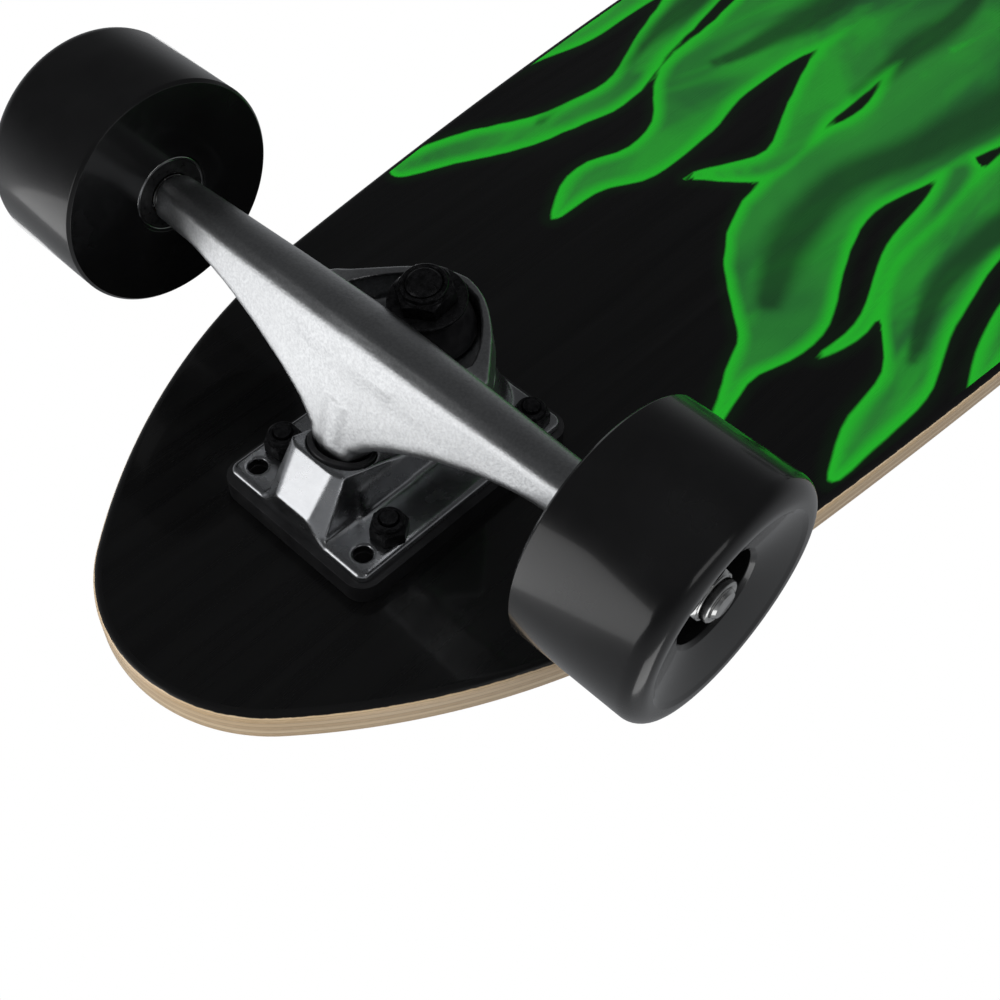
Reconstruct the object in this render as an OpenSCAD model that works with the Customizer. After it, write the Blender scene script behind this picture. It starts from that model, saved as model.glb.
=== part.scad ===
// Cruiser skateboard: a flat laminated deck on two kingpin trucks, with four wheels on ball bearings.
// It stands on its wheels. +X points to the nose, +Y to the left, +Z up; the origin is on the ground
// under the middle of the board. Millimetres.
//
// Two local frames are used. The truck frame has its origin under the deck, midway between the two
// holes of the outermost row: +X runs towards the middle of the board and +Z away from the deck.
// The wheel frame has its origin on the axle at the hanger's shoulder, with +Z pointing outwards.

/* [Deck] */
// Length of the deck from tip to tip
deck_l = 914; // [800:1:1100]
// Width of the deck at its middle
deck_w = 222; // [200:1:266]
// Radius of the arc round each tip
tip_r = 50; // [42:1:60]
// Radius of the arc between a tip and a long side
shoulder_r = 213; // [180:1:250]
// Radius of the long, nearly straight sides
side_r = 2540; // [2200:10:3000]
// Number of veneers glued together
ply_count = 7; // [5:1:9]
// Thickness of one veneer
ply_t = 1.5; // [1.2:0.1:1.8]
// Thickness of the grip tape on top
grip_t = 0.9; // [0.6:0.1:1.2]

/* [Mounting hardware] */
// Distance from a deck tip to the outermost row of truck holes
truck_inset = 60; // [50:1:100]
// Spacing of the truck holes across the board
hole_y = 41.275; // [41:0.005:43]
// Distance from the outermost row to the second row
row_near = 9.525; // [9.5:0.005:12]
// Distance from the outermost row to the innermost row
row_far = 63.5; // [62.5:0.1:65]
// Shank diameter of a mounting screw
screw_d = 4.8; // [4.5:0.1:5]
// Head diameter of a mounting screw
screw_head_d = 9.2; // [8.5:0.1:10]
// Height of the countersunk head
screw_head_h = 2.7; // [2.2:0.1:3.2]
// Length of each slot of the cross recess in a screw head
slot_l = 5; // [4:0.1:5.5]
// Width of each slot of the cross recess
slot_w = 1.2; // [1:0.1:1.4]
// Depth of the cross recess
slot_h = 1.6; // [1.2:0.1:1.8]
// Length of screw that stands out past its nut
screw_past = 0.8; // [0.2:0.1:3]
// Width across the flats of a mounting nut
lock_nut_af = 9.525; // [9:0.1:10.5]
// Height of the hexagon of a mounting nut
lock_nut_h = 4.3; // [3.5:0.1:5]
// Height of the round locking collar on a mounting nut
lock_collar_h = 1.7; // [1:0.1:2.5]
// Gap round a screw in its holes
screw_gap = 0.25; // [0.1:0.05:0.5]

/* [Riser pad] */
// Thickness of the riser pad
riser_t = 6.35; // [3:0.05:13]
// Length of the riser pad
riser_l = 81; // [78:0.5:90]
// Width of the riser pad
riser_w = 57; // [54:0.5:70]
// Corner radius of the riser pad
riser_r = 6; // [3:0.5:8]

/* [Baseplate] */
// Thickness of the baseplate's flange
plate_t = 3.15; // [2.5:0.05:5]
// Length of the baseplate
plate_l = 77; // [75:0.5:84]
// Width of the baseplate
plate_w = 53.2; // [50:0.1:60]
// Corner radius of the baseplate
plate_r = 3; // [1:0.5:5]
// Distance from the outermost row of holes to the baseplate's outer edge
plate_edge = 6; // [5:0.1:7]
// Wall of the pivot tower on each side of the cup
tower_wall = 1.2; // [1:0.1:2]
// How much further each side of the tower stands out at its foot
tower_flare = 0.8; // [0:0.1:2]
// Height of the steep lower face at the tower's front
tower_step_h = 5.5; // [4:0.1:7]
// How far that lower face leans in
tower_step_in = 0.5; // [0.2:0.1:2]
// Distance of the tower's front top edge from the outermost row of holes
tower_front_x = 2.4; // [2:0.1:3.4]
// Height of the ridge that joins the tower to the kingpin boss
ridge_h = 9.5; // [8:0.1:10.5]
// Radius of the kingpin boss at its foot
boss_foot_r = 17; // [15:0.5:19]
// Radius of the kingpin boss at its top
boss_top_r = 13.5; // [12.5:0.5:15]
// Height of the kingpin boss along the kingpin
boss_h = 13; // [11:0.5:15]

/* [Pivot] */
// Distance of the pivot cup's mouth from the outermost row of holes
mouth_x = 12.9; // [12:0.1:14]
// Height of the pivot cup's mouth over the baseplate's flange
mouth_z = 14.9; // [14:0.1:18]
// Wall of the pivot cup round the widest part of the nose
cup_wall = 3.12; // [2.8:0.02:3.4]
// Thickness of the pivot cup's floor
cup_floor = 1.42; // [1:0.02:2]
// How much the cup's radius widens from the nose to its mouth
cup_flare = 1.6; // [1:0.1:2]
// Diameter of the hanger's ball nose
nose_d = 12; // [11:0.1:12.6]
// Depth of the centre of the nose below the cup's mouth
nose_sink = 4.5; // [4:0.1:5]
// Radial running gap of the nose in its cup
nose_gap = 0.08; // [0.03:0.01:0.1]

/* [Kingpin and bushings] */
// Distance of the kingpin from the outermost row of holes, at the flange
kingpin_x = 52.5; // [51:0.1:54]
// Lean of the kingpin towards the axle, in degrees
kingpin_lean = 10; // [8:0.5:12]
// Diameter of the kingpin
kingpin_d = 9.525; // [9.5:0.005:10]
// Length of the kingpin over the baseplate's flange
kingpin_top = 54; // [52:0.1:60]
// Width across the flats of the kingpin's head and nut
kingpin_af = 14.3; // [14:0.1:15]
// Height of the kingpin's head
kingpin_head_h = 6; // [5:0.1:6.5]
// Height of the hexagon of the kingpin nut
kingpin_nut_h = 4.6; // [4:0.1:6]
// Height of the round locking collar on the kingpin nut
kingpin_collar_h = 1.6; // [1:0.1:2]
// Length of kingpin that stands out past its nut
kingpin_past = 0.8; // [0.2:0.1:2]
// Radial gap of the kingpin in the baseplate, washers and bushings
kingpin_gap = 0.1; // [0.05:0.05:0.2]
// Thickness of a cup washer
washer_t = 1.4; // [1:0.1:1.6]
// Outer diameter of the cup washer by the deck
board_washer_d = 25; // [23:0.5:26]
// Outer diameter of the cup washer by the road
road_washer_d = 21; // [19:0.5:21.2]
// Length of the barrel bushing by the deck
board_bushing_h = 14; // [12:0.5:15]
// Diameter of the barrel bushing by the deck
board_bushing_d = 23.6; // [22:0.1:24]
// Diameter of the cone bushing under its washer
road_bushing_top_d = 19; // [18:0.1:20]
// Diameter of the cone bushing where it sits in the hanger
road_bushing_d = 24; // [22:0.1:24.4]

/* [Hanger] */
// Distance of the axle from the outermost row of holes
axle_x = 24.3; // [23.5:0.1:25.5]
// Height of the axle's centre over the baseplate's flange
axle_rise = 45.3; // [44:0.1:50]
// Width of the hanger from shoulder to shoulder
hanger_w = 152; // [120:1:190]
// Diameter of the hanger's shoulders
shoulder_d = 13.6; // [12:0.1:16]
// Diameter of the hanger's beam at its middle
beam_d = 18.2; // [16:0.1:18.6]
// Thickness of the web from the beam to the nose
web_t = 11; // [9:0.5:11.5]
// Thickness of the bushing seat
seat_t = 5; // [4:0.1:6]
// Gap round the kingpin in the bushing seat
seat_gap = 1.84; // [1.6:0.02:2.2]
// Room between the road bushing and the ring round it
bushing_room = 1; // [0.6:0.1:1.4]
// Thickness of the ring's wall
ring_wall = 2.2; // [1.8:0.1:2.4]
// Height of the ring's wall over the middle of the seat
ring_h = 11; // [8:0.5:11.5]
// Angle between each arm of the yoke and the direction of travel, in degrees
arm_a = 45; // [38:1:50]
// Radius of the open pocket round the road bushing
pocket_r = 17.4; // [15:0.1:19]
// Distance from the shoulder to the start of the web
web_start = 14; // [10:0.5:18]
// Half width that the web's edge bends towards
web_bend_w = 26; // [20:0.5:30]
// Depth at which the web's edge bends
web_bend_h = 11; // [9:0.5:14]
// Distance of the web's end from the nose's centre
web_clear = 9; // [8:0.5:11]
// How much slimmer the neck's radius is than the nose's
neck_step = 0.3; // [0.1:0.1:0.8]

/* [Axle] */
// Diameter of the axle
axle_d = 8; // [7.9:0.05:8]
// Length of axle past the outer end of its nut
axle_past = 1; // [0.5:0.1:2]
// Width across the flats of an axle nut
axle_nut_af = 12.7; // [12:0.1:13.5]
// Height of the hexagon of an axle nut
axle_nut_h = 5.6; // [4.5:0.1:7]
// Height of the round locking collar on an axle nut
axle_collar_h = 2.2; // [1.5:0.1:3]
// Thickness of a speed washer
speed_washer_t = 1; // [0.6:0.1:1.2]
// Width of a speed washer's ring round the axle
speed_washer_w = 1.8; // [1.5:0.1:1.9]

/* [Bearings] */
// Outer diameter of a bearing
bearing_d = 22; // [21:0.5:23]
// Width of a bearing
bearing_w = 7; // [6.5:0.1:7.5]
// Depth of the ball grooves in the two rings
groove_depth = 0.43; // [0.3:0.01:0.6]
// Number of balls in a bearing
ball_count = 7; // [6:1:7]
// Diameter of a ball
ball_d = 3.968; // [3.9:0.004:4]
// Gap between a ball and its grooves
ball_gap = 0.06; // [0.03:0.01:0.1]
// Thickness of a bearing shield
shield_t = 0.35; // [0.2:0.05:0.4]
// Length of the spacer between the two bearings of a wheel
spacer_l = 10; // [9:0.5:11]
// Wall of the spacer
spacer_wall = 1.2; // [1:0.1:1.5]
// Width of a ball cage's ring
cage_w = 1.8; // [1.4:0.1:2]
// Height of a ball cage's ring
cage_h = 1.5; // [1:0.1:1.6]
// Distance of a ball cage's ring from the middle of the bearing
cage_lift = 0.9; // [0.7:0.1:1]

/* [Wheels] */
// Diameter of a wheel
wheel_d = 65; // [58:1:80]
// Width of a wheel
wheel_w = 36; // [34:1:46]
// Height of the rounding from the tread to the outer lip
lip_r = 5; // [4:0.5:7]
// Chamfer round the inner face
inner_chamfer = 0.8; // [0.5:0.1:2]
// Radius of the open recess round the axle nut
recess_r = 12.6; // [12:0.1:14]
// Bevel round the mouth of that recess
recess_bevel = 1; // [0.5:0.1:1.5]
// Depth of the dish in the outer face
dish_depth = 4.2; // [2:0.1:4.5]
// Gap between the hanger's shoulder and the wheel's inner face
wheel_gap = 0.8; // [0.5:0.1:1]

/* [Hidden] */
$fn = 64;

REAR = -1;
FRONT = 1;
LEFT = 1;
RIGHT = -1;

// Cuts run this far past the faces they open.
over = 1;
// Nuts and washers keep this radial gap round the shaft that carries them.
thread_gap = 0.05;
// Straight steps in one edge of the hanger's web, and in the round lip of a wheel.
web_steps = 8;
lip_steps = 8;
// A nut's locking collar is this much of the nut's width across the flats.
collar_share = 0.88;
// The tower's top lies this far below the mouth of its cup.
tower_drop = 0.4;

// Heights in the board's frame.
axle_z = wheel_d / 2;
flange_drop = riser_t + plate_t;
deck_bottom_z = axle_z + flange_drop + axle_rise;
deck_t = ply_count * ply_t;
deck_top_z = deck_bottom_z + deck_t;

// Places of the trucks along the board.
row_x = deck_l / 2 - truck_inset;
wheel_x = row_x - axle_x;
screw_rows = [row_near, row_far];
plate_rows = [0, row_near, row_far];
screw_l = deck_t + flange_drop + lock_nut_h + lock_collar_h + screw_past;

// The nose leans from its ball, in the cup, towards the axle.
nose_lean = atan2(axle_x - mouth_x, axle_rise - mouth_z);
nose_l = norm([axle_x - mouth_x, axle_rise - mouth_z]) + nose_sink;
nose_r = nose_d / 2;
nose_x = mouth_x - nose_sink * sin(nose_lean);
nose_z = flange_drop + mouth_z - nose_sink * cos(nose_lean);
cavity_r = nose_r + nose_gap;
cup_r = cavity_r + cup_wall;
cup_depth = nose_sink + cavity_r + cup_floor;
tower_top_w = 2 * (cup_r + tower_wall);
tower_foot_w = tower_top_w + 2 * tower_flare;

// Heights along the kingpin, from the flange.
board_washer_s = boss_h;
board_bushing_s = board_washer_s + washer_t;
seat_s = board_bushing_s + board_bushing_h;
seat_mid_s = seat_s + seat_t / 2;
road_bushing_s = seat_s + seat_t;
kingpin_nut_s = kingpin_top - kingpin_past - kingpin_collar_h - kingpin_nut_h;
road_washer_s = kingpin_nut_s - washer_t;
road_bushing_h = road_washer_s - road_bushing_s;
head_s = -plate_t / cos(kingpin_lean) + hex_r(kingpin_af) * tan(kingpin_lean);
ring_r = road_bushing_d / 2 + bushing_room + ring_wall;

// Places along the axle, from the hanger's shoulder.
inner_bearing_u = speed_washer_t;
spacer_u = inner_bearing_u + bearing_w;
outer_bearing_u = spacer_u + spacer_l;
outer_washer_u = outer_bearing_u + bearing_w;
axle_nut_u = outer_washer_u + speed_washer_t;
axle_end_u = axle_nut_u + axle_nut_h + axle_collar_h + axle_past;
bearing_starts = [inner_bearing_u, outer_bearing_u];

// Radii in a bearing.
bearing_r = bearing_d / 2;
ball_path_r = (bearing_r + axle_d / 2) / 2;
groove_r = ball_d / 2 + ball_gap;
outer_shoulder_r = ball_path_r + groove_r - groove_depth;
inner_shoulder_r = ball_path_r - groove_r + groove_depth;
speed_washer_r = axle_d / 2 + speed_washer_w;
spacer_r = axle_d / 2 + spacer_wall;

function hex_r(across_flats) = across_flats / 2 / cos(30);

// Centres of the arcs of one end of the deck's outline, tangent to each other.
tip_c = [deck_l / 2 - tip_r, 0];
side_c = [0, deck_w / 2 - side_r];
shoulder_c = let(
        apart = norm(tip_c - side_c),
        to_tip = shoulder_r - tip_r,
        to_side = side_r - shoulder_r,
        along = (to_side ^ 2 - to_tip ^ 2 + apart ^ 2) / (2 * apart),
        aside = sqrt(to_side ^ 2 - along ^ 2),
        dir = (tip_c - side_c) / apart
    ) side_c + along * dir + aside * [-dir[1], dir[0]];
tip_joint = tip_c + tip_r * (tip_c - shoulder_c) / norm(tip_c - shoulder_c);
side_joint = side_c + side_r * (shoulder_c - side_c) / norm(shoulder_c - side_c);

// ---- Placing ----

// Moves a piece from the truck frame to its end of the board.
module on_truck(end) {
    rotate([0, 0, end == FRONT ? 180 : 0])
        translate([-row_x, 0, deck_bottom_z])
            rotate([180, 0, 0]) children();
}

// Moves a piece from the wheel frame to one wheel.
module on_axle_end(end, side) {
    translate([end * wheel_x, side * hanger_w / 2, axle_z]) rotate([-90 * side, 0, 0]) children();
}

// Lays the kingpin's own axis along +Z, starting at the flange.
module on_kingpin() {
    translate([kingpin_x, 0, flange_drop]) rotate([0, -kingpin_lean, 0]) children();
}

// Lays the nose's own axis along +Z, starting at the centre of the ball.
module on_nose() {
    translate([nose_x, 0, nose_z]) rotate([0, nose_lean, 0]) children();
}

// ---- Shared shapes ----

module tube(outer_r, inner_r, h) {
    difference() {
        cylinder(r = outer_r, h = h);
        translate([0, 0, -over]) cylinder(r = inner_r, h = h + 2 * over);
    }
}

// A hexagon with a round locking collar on top, bored for its thread.
module collar_nut(across_flats, hex_h, collar_h, bore_r) {
    difference() {
        union() {
            cylinder(r = hex_r(across_flats), h = hex_h, $fn = 6);
            cylinder(d = across_flats * collar_share, h = hex_h + collar_h);
        }
        translate([0, 0, -over]) cylinder(r = bore_r, h = hex_h + collar_h + 2 * over);
    }
}

module rounded_plate(x0, l, w, r, h) {
    translate([x0 + r, -w / 2, 0]) cube([l - 2 * r, w, h]);
    translate([x0, -w / 2 + r, 0]) cube([l, w - 2 * r, h]);
    for (x = [x0 + r, x0 + l - r], y = [-1, 1] * (w / 2 - r)) translate([x, y, 0]) cylinder(r = r, h = h);
}

module hole_rows(rows, r, h) {
    for (x = rows, y = [-1, 1] * hole_y / 2) translate([x, y, -over]) cylinder(r = r, h = h + 2 * over);
}

// Points along an arc from one angle to another, without its last point.
function arc(c, r, from, to, steps) =
    [for (i = [0:steps - 1]) let(a = from + (to - from) * i / steps) c + r * [cos(a), sin(a)]];

// A quarter of the outline, from the tip to the middle of the long side.
function quarter_outline() = let(
        tip_a = atan2(tip_joint[1] - tip_c[1], tip_joint[0] - tip_c[0]),
        side_a = atan2(side_joint[1] - side_c[1], side_joint[0] - side_c[0])
    ) concat(
        arc(tip_c, tip_r, 0, tip_a, 10),
        arc(shoulder_c, shoulder_r, tip_a, side_a, 14),
        arc(side_c, side_r, side_a, 90, 10)
    );

function reversed(list) = [for (i = [len(list) - 1:-1:0]) list[i]];

// The deck's outline: long side arcs, shoulder arcs and a round tip at each end.
module deck_outline() {
    quarter = quarter_outline();
    half = concat(quarter, [side_c + [0, side_r]], [for (p = reversed(quarter)) [-p[0], p[1]]]);
    inner = [for (i = [1:len(half) - 2]) half[i]];
    polygon(concat(half, [for (p = reversed(inner)) [p[0], -p[1]]]));
}

// ---- Deck and its hardware ----

module deck() {
    color("burlywood") difference() {
        translate([0, 0, deck_bottom_z]) linear_extrude(deck_t) deck_outline();
        for (end = [REAR, FRONT]) on_truck(end) {
            translate([0, 0, -deck_t]) hole_rows(screw_rows, screw_d / 2 + screw_gap, deck_t);
            for (x = screw_rows, y = [-1, 1] * hole_y / 2)
                translate([x, y, -deck_t]) screw_head(screw_gap);
        }
    }
}

module grip_tape() {
    color("dimgray") difference() {
        translate([0, 0, deck_top_z]) linear_extrude(grip_t) deck_outline();
        for (end = [REAR, FRONT]) on_truck(end) translate([0, 0, -deck_t - grip_t])
            hole_rows(screw_rows, screw_head_d / 2 + screw_gap, grip_t);
    }
}

// A countersunk head with its flat top at z = 0, grown by a gap for the seat.
module screw_head(gap) {
    cylinder(r1 = screw_head_d / 2 + gap, r2 = screw_d / 2 + gap, h = screw_head_h);
}

module mounting_screw() {
    difference() {
        union() {
            screw_head(0);
            cylinder(d = screw_d, h = screw_l);
        }
        for (turn = [0, 90]) rotate([0, 0, turn]) translate([-slot_l / 2, -slot_w / 2, -over])
            cube([slot_l, slot_w, slot_h + over]);
    }
}

module mounting_screws() {
    color("#202020") for (end = [REAR, FRONT], x = screw_rows, y = [-1, 1] * hole_y / 2)
        on_truck(end) translate([x, y, -deck_t]) mounting_screw();
}

module mounting_nuts() {
    color("#181818") for (end = [REAR, FRONT], x = screw_rows, y = [-1, 1] * hole_y / 2)
        on_truck(end) translate([x, y, flange_drop])
            collar_nut(lock_nut_af, lock_nut_h, lock_collar_h, screw_d / 2 + thread_gap);
}

// ---- Truck pieces that stay with the deck ----

module riser(end) {
    color("#1a1a1a") on_truck(end) difference() {
        rounded_plate(plate_l / 2 - plate_edge - riser_l / 2, riser_l, riser_w, riser_r, riser_t);
        hole_rows(plate_rows, screw_d / 2 + screw_gap, riser_t);
    }
}

// Side view of the pivot tower and the ridge that joins it to the kingpin boss.
module tower_profile() {
    top = mouth_z + (mouth_x - tower_front_x) * tan(nose_lean) - tower_drop;
    ridge_x = tower_front_x + (top - ridge_h) / tan(nose_lean);
    polygon([
        [-plate_edge, -plate_t], [-plate_edge, 0], [-plate_edge + tower_step_in, tower_step_h],
        [tower_front_x, top], [ridge_x, ridge_h], [kingpin_x, ridge_h], [kingpin_x, -plate_t]
    ]);
}

// End view of the tower, wider at its foot.
module tower_section(h) {
    polygon([
        [-tower_foot_w / 2, -plate_t], [-tower_foot_w / 2, 0], [-tower_top_w / 2, h],
        [tower_top_w / 2, h], [tower_foot_w / 2, 0], [tower_foot_w / 2, -plate_t]
    ]);
}

module baseplate(end) {
    tall = mouth_z + 2 * cup_r;
    color("silver") on_truck(end) difference() {
        union() {
            translate([0, 0, riser_t]) rounded_plate(-plate_edge, plate_l, plate_w, plate_r, plate_t);
            translate([0, 0, flange_drop]) intersection() {
                rotate([90, 0, 0]) translate([0, 0, -plate_w / 2]) linear_extrude(plate_w) tower_profile();
                rotate([90, 0, 90]) translate([0, 0, -plate_l]) linear_extrude(2 * plate_l)
                    tower_section(tall);
            }
            intersection() {
                on_kingpin() translate([0, 0, -plate_t]) cylinder(
                    r1 = boss_foot_r, r2 = boss_top_r, h = boss_h + plate_t);
                translate([0, -plate_w / 2, riser_t]) cube([plate_l - plate_edge, plate_w, tall]);
            }
        }
        translate([0, 0, riser_t]) hole_rows(plate_rows, screw_d / 2 + screw_gap, plate_t);
        on_nose() translate([0, 0, nose_sink - cup_depth]) cylinder(r = cup_r, h = cup_depth + tall);
        on_kingpin() translate([0, 0, -2 * plate_t]) cylinder(
            r = hex_r(kingpin_af) + screw_gap, h = 2 * plate_t + head_s + kingpin_head_h);
        on_kingpin() cylinder(r = kingpin_d / 2 + kingpin_gap, h = boss_h + over);
    }
}

module pivot_cup(end) {
    cut_h = nose_sink + over;
    color("#101010") on_truck(end) on_nose() difference() {
        translate([0, 0, nose_sink - cup_depth]) cylinder(r = cup_r, h = cup_depth);
        sphere(r = cavity_r);
        cylinder(r1 = cavity_r, r2 = cavity_r + cup_flare * cut_h / nose_sink, h = cut_h);
    }
}

module kingpin(end) {
    color("#141414") on_truck(end) on_kingpin() {
        translate([0, 0, head_s]) cylinder(r = hex_r(kingpin_af), h = kingpin_head_h, $fn = 6);
        translate([0, 0, head_s + kingpin_head_h - over])
            cylinder(d = kingpin_d, h = kingpin_top - head_s - kingpin_head_h + over);
    }
}

module kingpin_nut(end) {
    color("#141414") on_truck(end) on_kingpin() translate([0, 0, kingpin_nut_s])
        collar_nut(kingpin_af, kingpin_nut_h, kingpin_collar_h, kingpin_d / 2 + thread_gap);
}

module cup_washers(end) {
    bore_r = kingpin_d / 2 + kingpin_gap;
    color("#1c1c1c") on_truck(end) on_kingpin() {
        translate([0, 0, board_washer_s]) tube(board_washer_d / 2, bore_r, washer_t);
        translate([0, 0, road_washer_s]) tube(road_washer_d / 2, bore_r, washer_t);
    }
}

module board_bushing(end) {
    color("#222222") on_truck(end) on_kingpin() translate([0, 0, board_bushing_s])
        tube(board_bushing_d / 2, kingpin_d / 2 + kingpin_gap, board_bushing_h);
}

module road_bushing(end) {
    color("#222222") on_truck(end) on_kingpin() translate([0, 0, road_bushing_s]) difference() {
        cylinder(d1 = road_bushing_d, d2 = road_bushing_top_d, h = road_bushing_h);
        translate([0, 0, -over]) cylinder(r = kingpin_d / 2 + kingpin_gap, h = road_bushing_h + 2 * over);
    }
}

// ---- Pieces that steer with the hanger ----

// The web seen square on: it narrows from the beam to the nose in one curve.
module web_outline() {
    from = [hanger_w / 2 - web_start, 0];
    bend = [web_bend_w, web_bend_h];
    to = [nose_r - neck_step, nose_l - web_clear];
    edge = [
        for (i = [0:web_steps]) let(t = i / web_steps)
            (1 - t) ^ 2 * from + 2 * t * (1 - t) * bend + t ^ 2 * to
    ];
    polygon(concat(edge, [for (p = reversed(edge)) [-p[0], p[1]]]));
}

// Plan of the ring's round tip and of the two arms that leave it at a tangent.
module yoke_plan(r, reach) {
    circle(r = r);
    end_w = (r + reach * sin(arm_a)) / cos(arm_a);
    polygon([
        [r * sin(arm_a), r * cos(arm_a)], [-reach, end_w], [-reach, -end_w],
        [r * sin(arm_a), -r * cos(arm_a)]
    ]);
}

module hanger(end) {
    half = hanger_w / 2;
    reach = kingpin_x - axle_x - seat_mid_s * sin(kingpin_lean);
    color("lightgray") on_truck(end) difference() {
        union() {
            translate([axle_x, 0, flange_drop + axle_rise]) rotate([-90, 0, 0]) rotate_extrude() polygon([
                [0, -half], [shoulder_d / 2, -half], [beam_d / 2, 0], [shoulder_d / 2, half], [0, half]
            ]);
            on_nose() translate([0, 0, nose_l]) rotate([-90, 0, 90]) translate([0, 0, -web_t / 2])
                linear_extrude(web_t) web_outline();
            on_nose() {
                sphere(r = nose_r);
                cylinder(r = nose_r - neck_step, h = nose_l - beam_d / 2);
            }
            on_kingpin() translate([0, 0, seat_s]) difference() {
                linear_extrude(seat_t / 2 + ring_h) yoke_plan(ring_r, reach);
                translate([0, 0, seat_t]) linear_extrude(ring_h) intersection() {
                    yoke_plan(ring_r - ring_wall, reach);
                    circle(r = pocket_r);
                }
                translate([0, 0, -over]) cylinder(r = kingpin_d / 2 + seat_gap, h = seat_t + 2 * over);
            }
        }
        axle_rod(over);
    }
}

module axle_rod(extra) {
    half = hanger_w / 2 + axle_end_u + extra;
    translate([axle_x, -half, flange_drop + axle_rise]) rotate([-90, 0, 0])
        cylinder(d = axle_d, h = 2 * half);
}

module axle(end) {
    color("gray") on_truck(end) axle_rod(0);
}

module axle_nuts(end) {
    color("silver") for (side = [LEFT, RIGHT]) on_axle_end(end, side) translate([0, 0, axle_nut_u])
        collar_nut(axle_nut_af, axle_nut_h, axle_collar_h, axle_d / 2 + thread_gap);
}

module speed_washers(end) {
    color("silver") for (side = [LEFT, RIGHT], u = [0, outer_washer_u]) on_axle_end(end, side)
        translate([0, 0, u]) tube(speed_washer_r, axle_d / 2 + thread_gap, speed_washer_t);
}

module bearing_inner_rings(end) {
    color("silver") for (side = [LEFT, RIGHT], u = bearing_starts) on_axle_end(end, side)
        translate([0, 0, u]) rotate_extrude() difference() {
            translate([axle_d / 2, 0]) square([inner_shoulder_r - axle_d / 2, bearing_w]);
            translate([ball_path_r, bearing_w / 2]) circle(r = groove_r);
        }
}

module bearing_spacers(end) {
    color("gray") for (side = [LEFT, RIGHT]) on_axle_end(end, side) translate([0, 0, spacer_u])
        tube(spacer_r, axle_d / 2 + thread_gap, spacer_l);
}

// ---- Pieces that spin with a wheel ----

module wheel(end, side) {
    tread_r = wheel_d / 2;
    outer_u = wheel_gap + wheel_w;
    crest_r = tread_r - lip_r;
    color("#151515") on_axle_end(end, side) rotate_extrude() polygon(concat(
        [
            [bearing_r, wheel_gap], [tread_r - inner_chamfer, wheel_gap],
            [tread_r, wheel_gap + inner_chamfer]
        ],
        [
            for (i = [0:lip_steps]) let(a = 90 * i / lip_steps)
                [crest_r + lip_r * cos(a), outer_u - lip_r + lip_r * sin(a)]
        ],
        [
            [recess_r + recess_bevel, outer_u - dish_depth],
            [recess_r, outer_u - dish_depth - recess_bevel],
            [recess_r, outer_washer_u], [bearing_r, outer_washer_u], [bearing_r, outer_bearing_u],
            [outer_shoulder_r, outer_bearing_u], [outer_shoulder_r, spacer_u], [bearing_r, spacer_u]
        ]
    ));
}

module bearing_outer_rings(end, side) {
    color("silver") for (u = bearing_starts) on_axle_end(end, side)
        translate([0, 0, u]) rotate_extrude() difference() {
            translate([outer_shoulder_r, 0]) square([bearing_r - outer_shoulder_r, bearing_w]);
            translate([ball_path_r, bearing_w / 2]) circle(r = groove_r);
        }
}

module bearing_shields(end, side) {
    rim_gap = 0.15;
    color("#101010") for (u = bearing_starts, near = [rim_gap, bearing_w - rim_gap - shield_t])
        on_axle_end(end, side) translate([0, 0, u + near])
            tube(outer_shoulder_r, inner_shoulder_r + rim_gap, shield_t);
}

// ---- Pieces that roll between the rings ----

module each_ball(u) {
    translate([0, 0, u + bearing_w / 2]) for (i = [0:ball_count - 1])
        rotate([0, 0, 360 * i / ball_count]) translate([ball_path_r, 0, 0]) children();
}

module balls(end, side) {
    color("silver") for (u = bearing_starts) on_axle_end(end, side) each_ball(u) sphere(d = ball_d);
}

module ball_cages(end, side) {
    color("goldenrod") for (u = bearing_starts) on_axle_end(end, side) difference() {
        translate([0, 0, u + bearing_w / 2 + cage_lift])
            tube(ball_path_r + cage_w / 2, ball_path_r - cage_w / 2, cage_h);
        each_ball(u) sphere(r = groove_r);
    }
}

deck();
grip_tape();
mounting_screws();
mounting_nuts();

riser(REAR);  // rear_riser
baseplate(REAR);  // rear_baseplate
pivot_cup(REAR);  // rear_pivot_cup
kingpin(REAR);  // rear_kingpin
kingpin_nut(REAR);  // rear_kingpin_nut
cup_washers(REAR);  // rear_cup_washers
board_bushing(REAR);  // rear_board_bushing
road_bushing(REAR);  // rear_road_bushing
riser(FRONT);  // front_riser
baseplate(FRONT);  // front_baseplate
pivot_cup(FRONT);  // front_pivot_cup
kingpin(FRONT);  // front_kingpin
kingpin_nut(FRONT);  // front_kingpin_nut
cup_washers(FRONT);  // front_cup_washers
board_bushing(FRONT);  // front_board_bushing
road_bushing(FRONT);  // front_road_bushing

hanger(REAR);  // rear_hanger
axle(REAR);  // rear_axle
axle_nuts(REAR);  // rear_axle_nuts
speed_washers(REAR);  // rear_speed_washers
bearing_inner_rings(REAR);  // rear_bearing_inner_rings
bearing_spacers(REAR);  // rear_bearing_spacers
hanger(FRONT);  // front_hanger
axle(FRONT);  // front_axle
axle_nuts(FRONT);  // front_axle_nuts
speed_washers(FRONT);  // front_speed_washers
bearing_inner_rings(FRONT);  // front_bearing_inner_rings
bearing_spacers(FRONT);  // front_bearing_spacers

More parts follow.
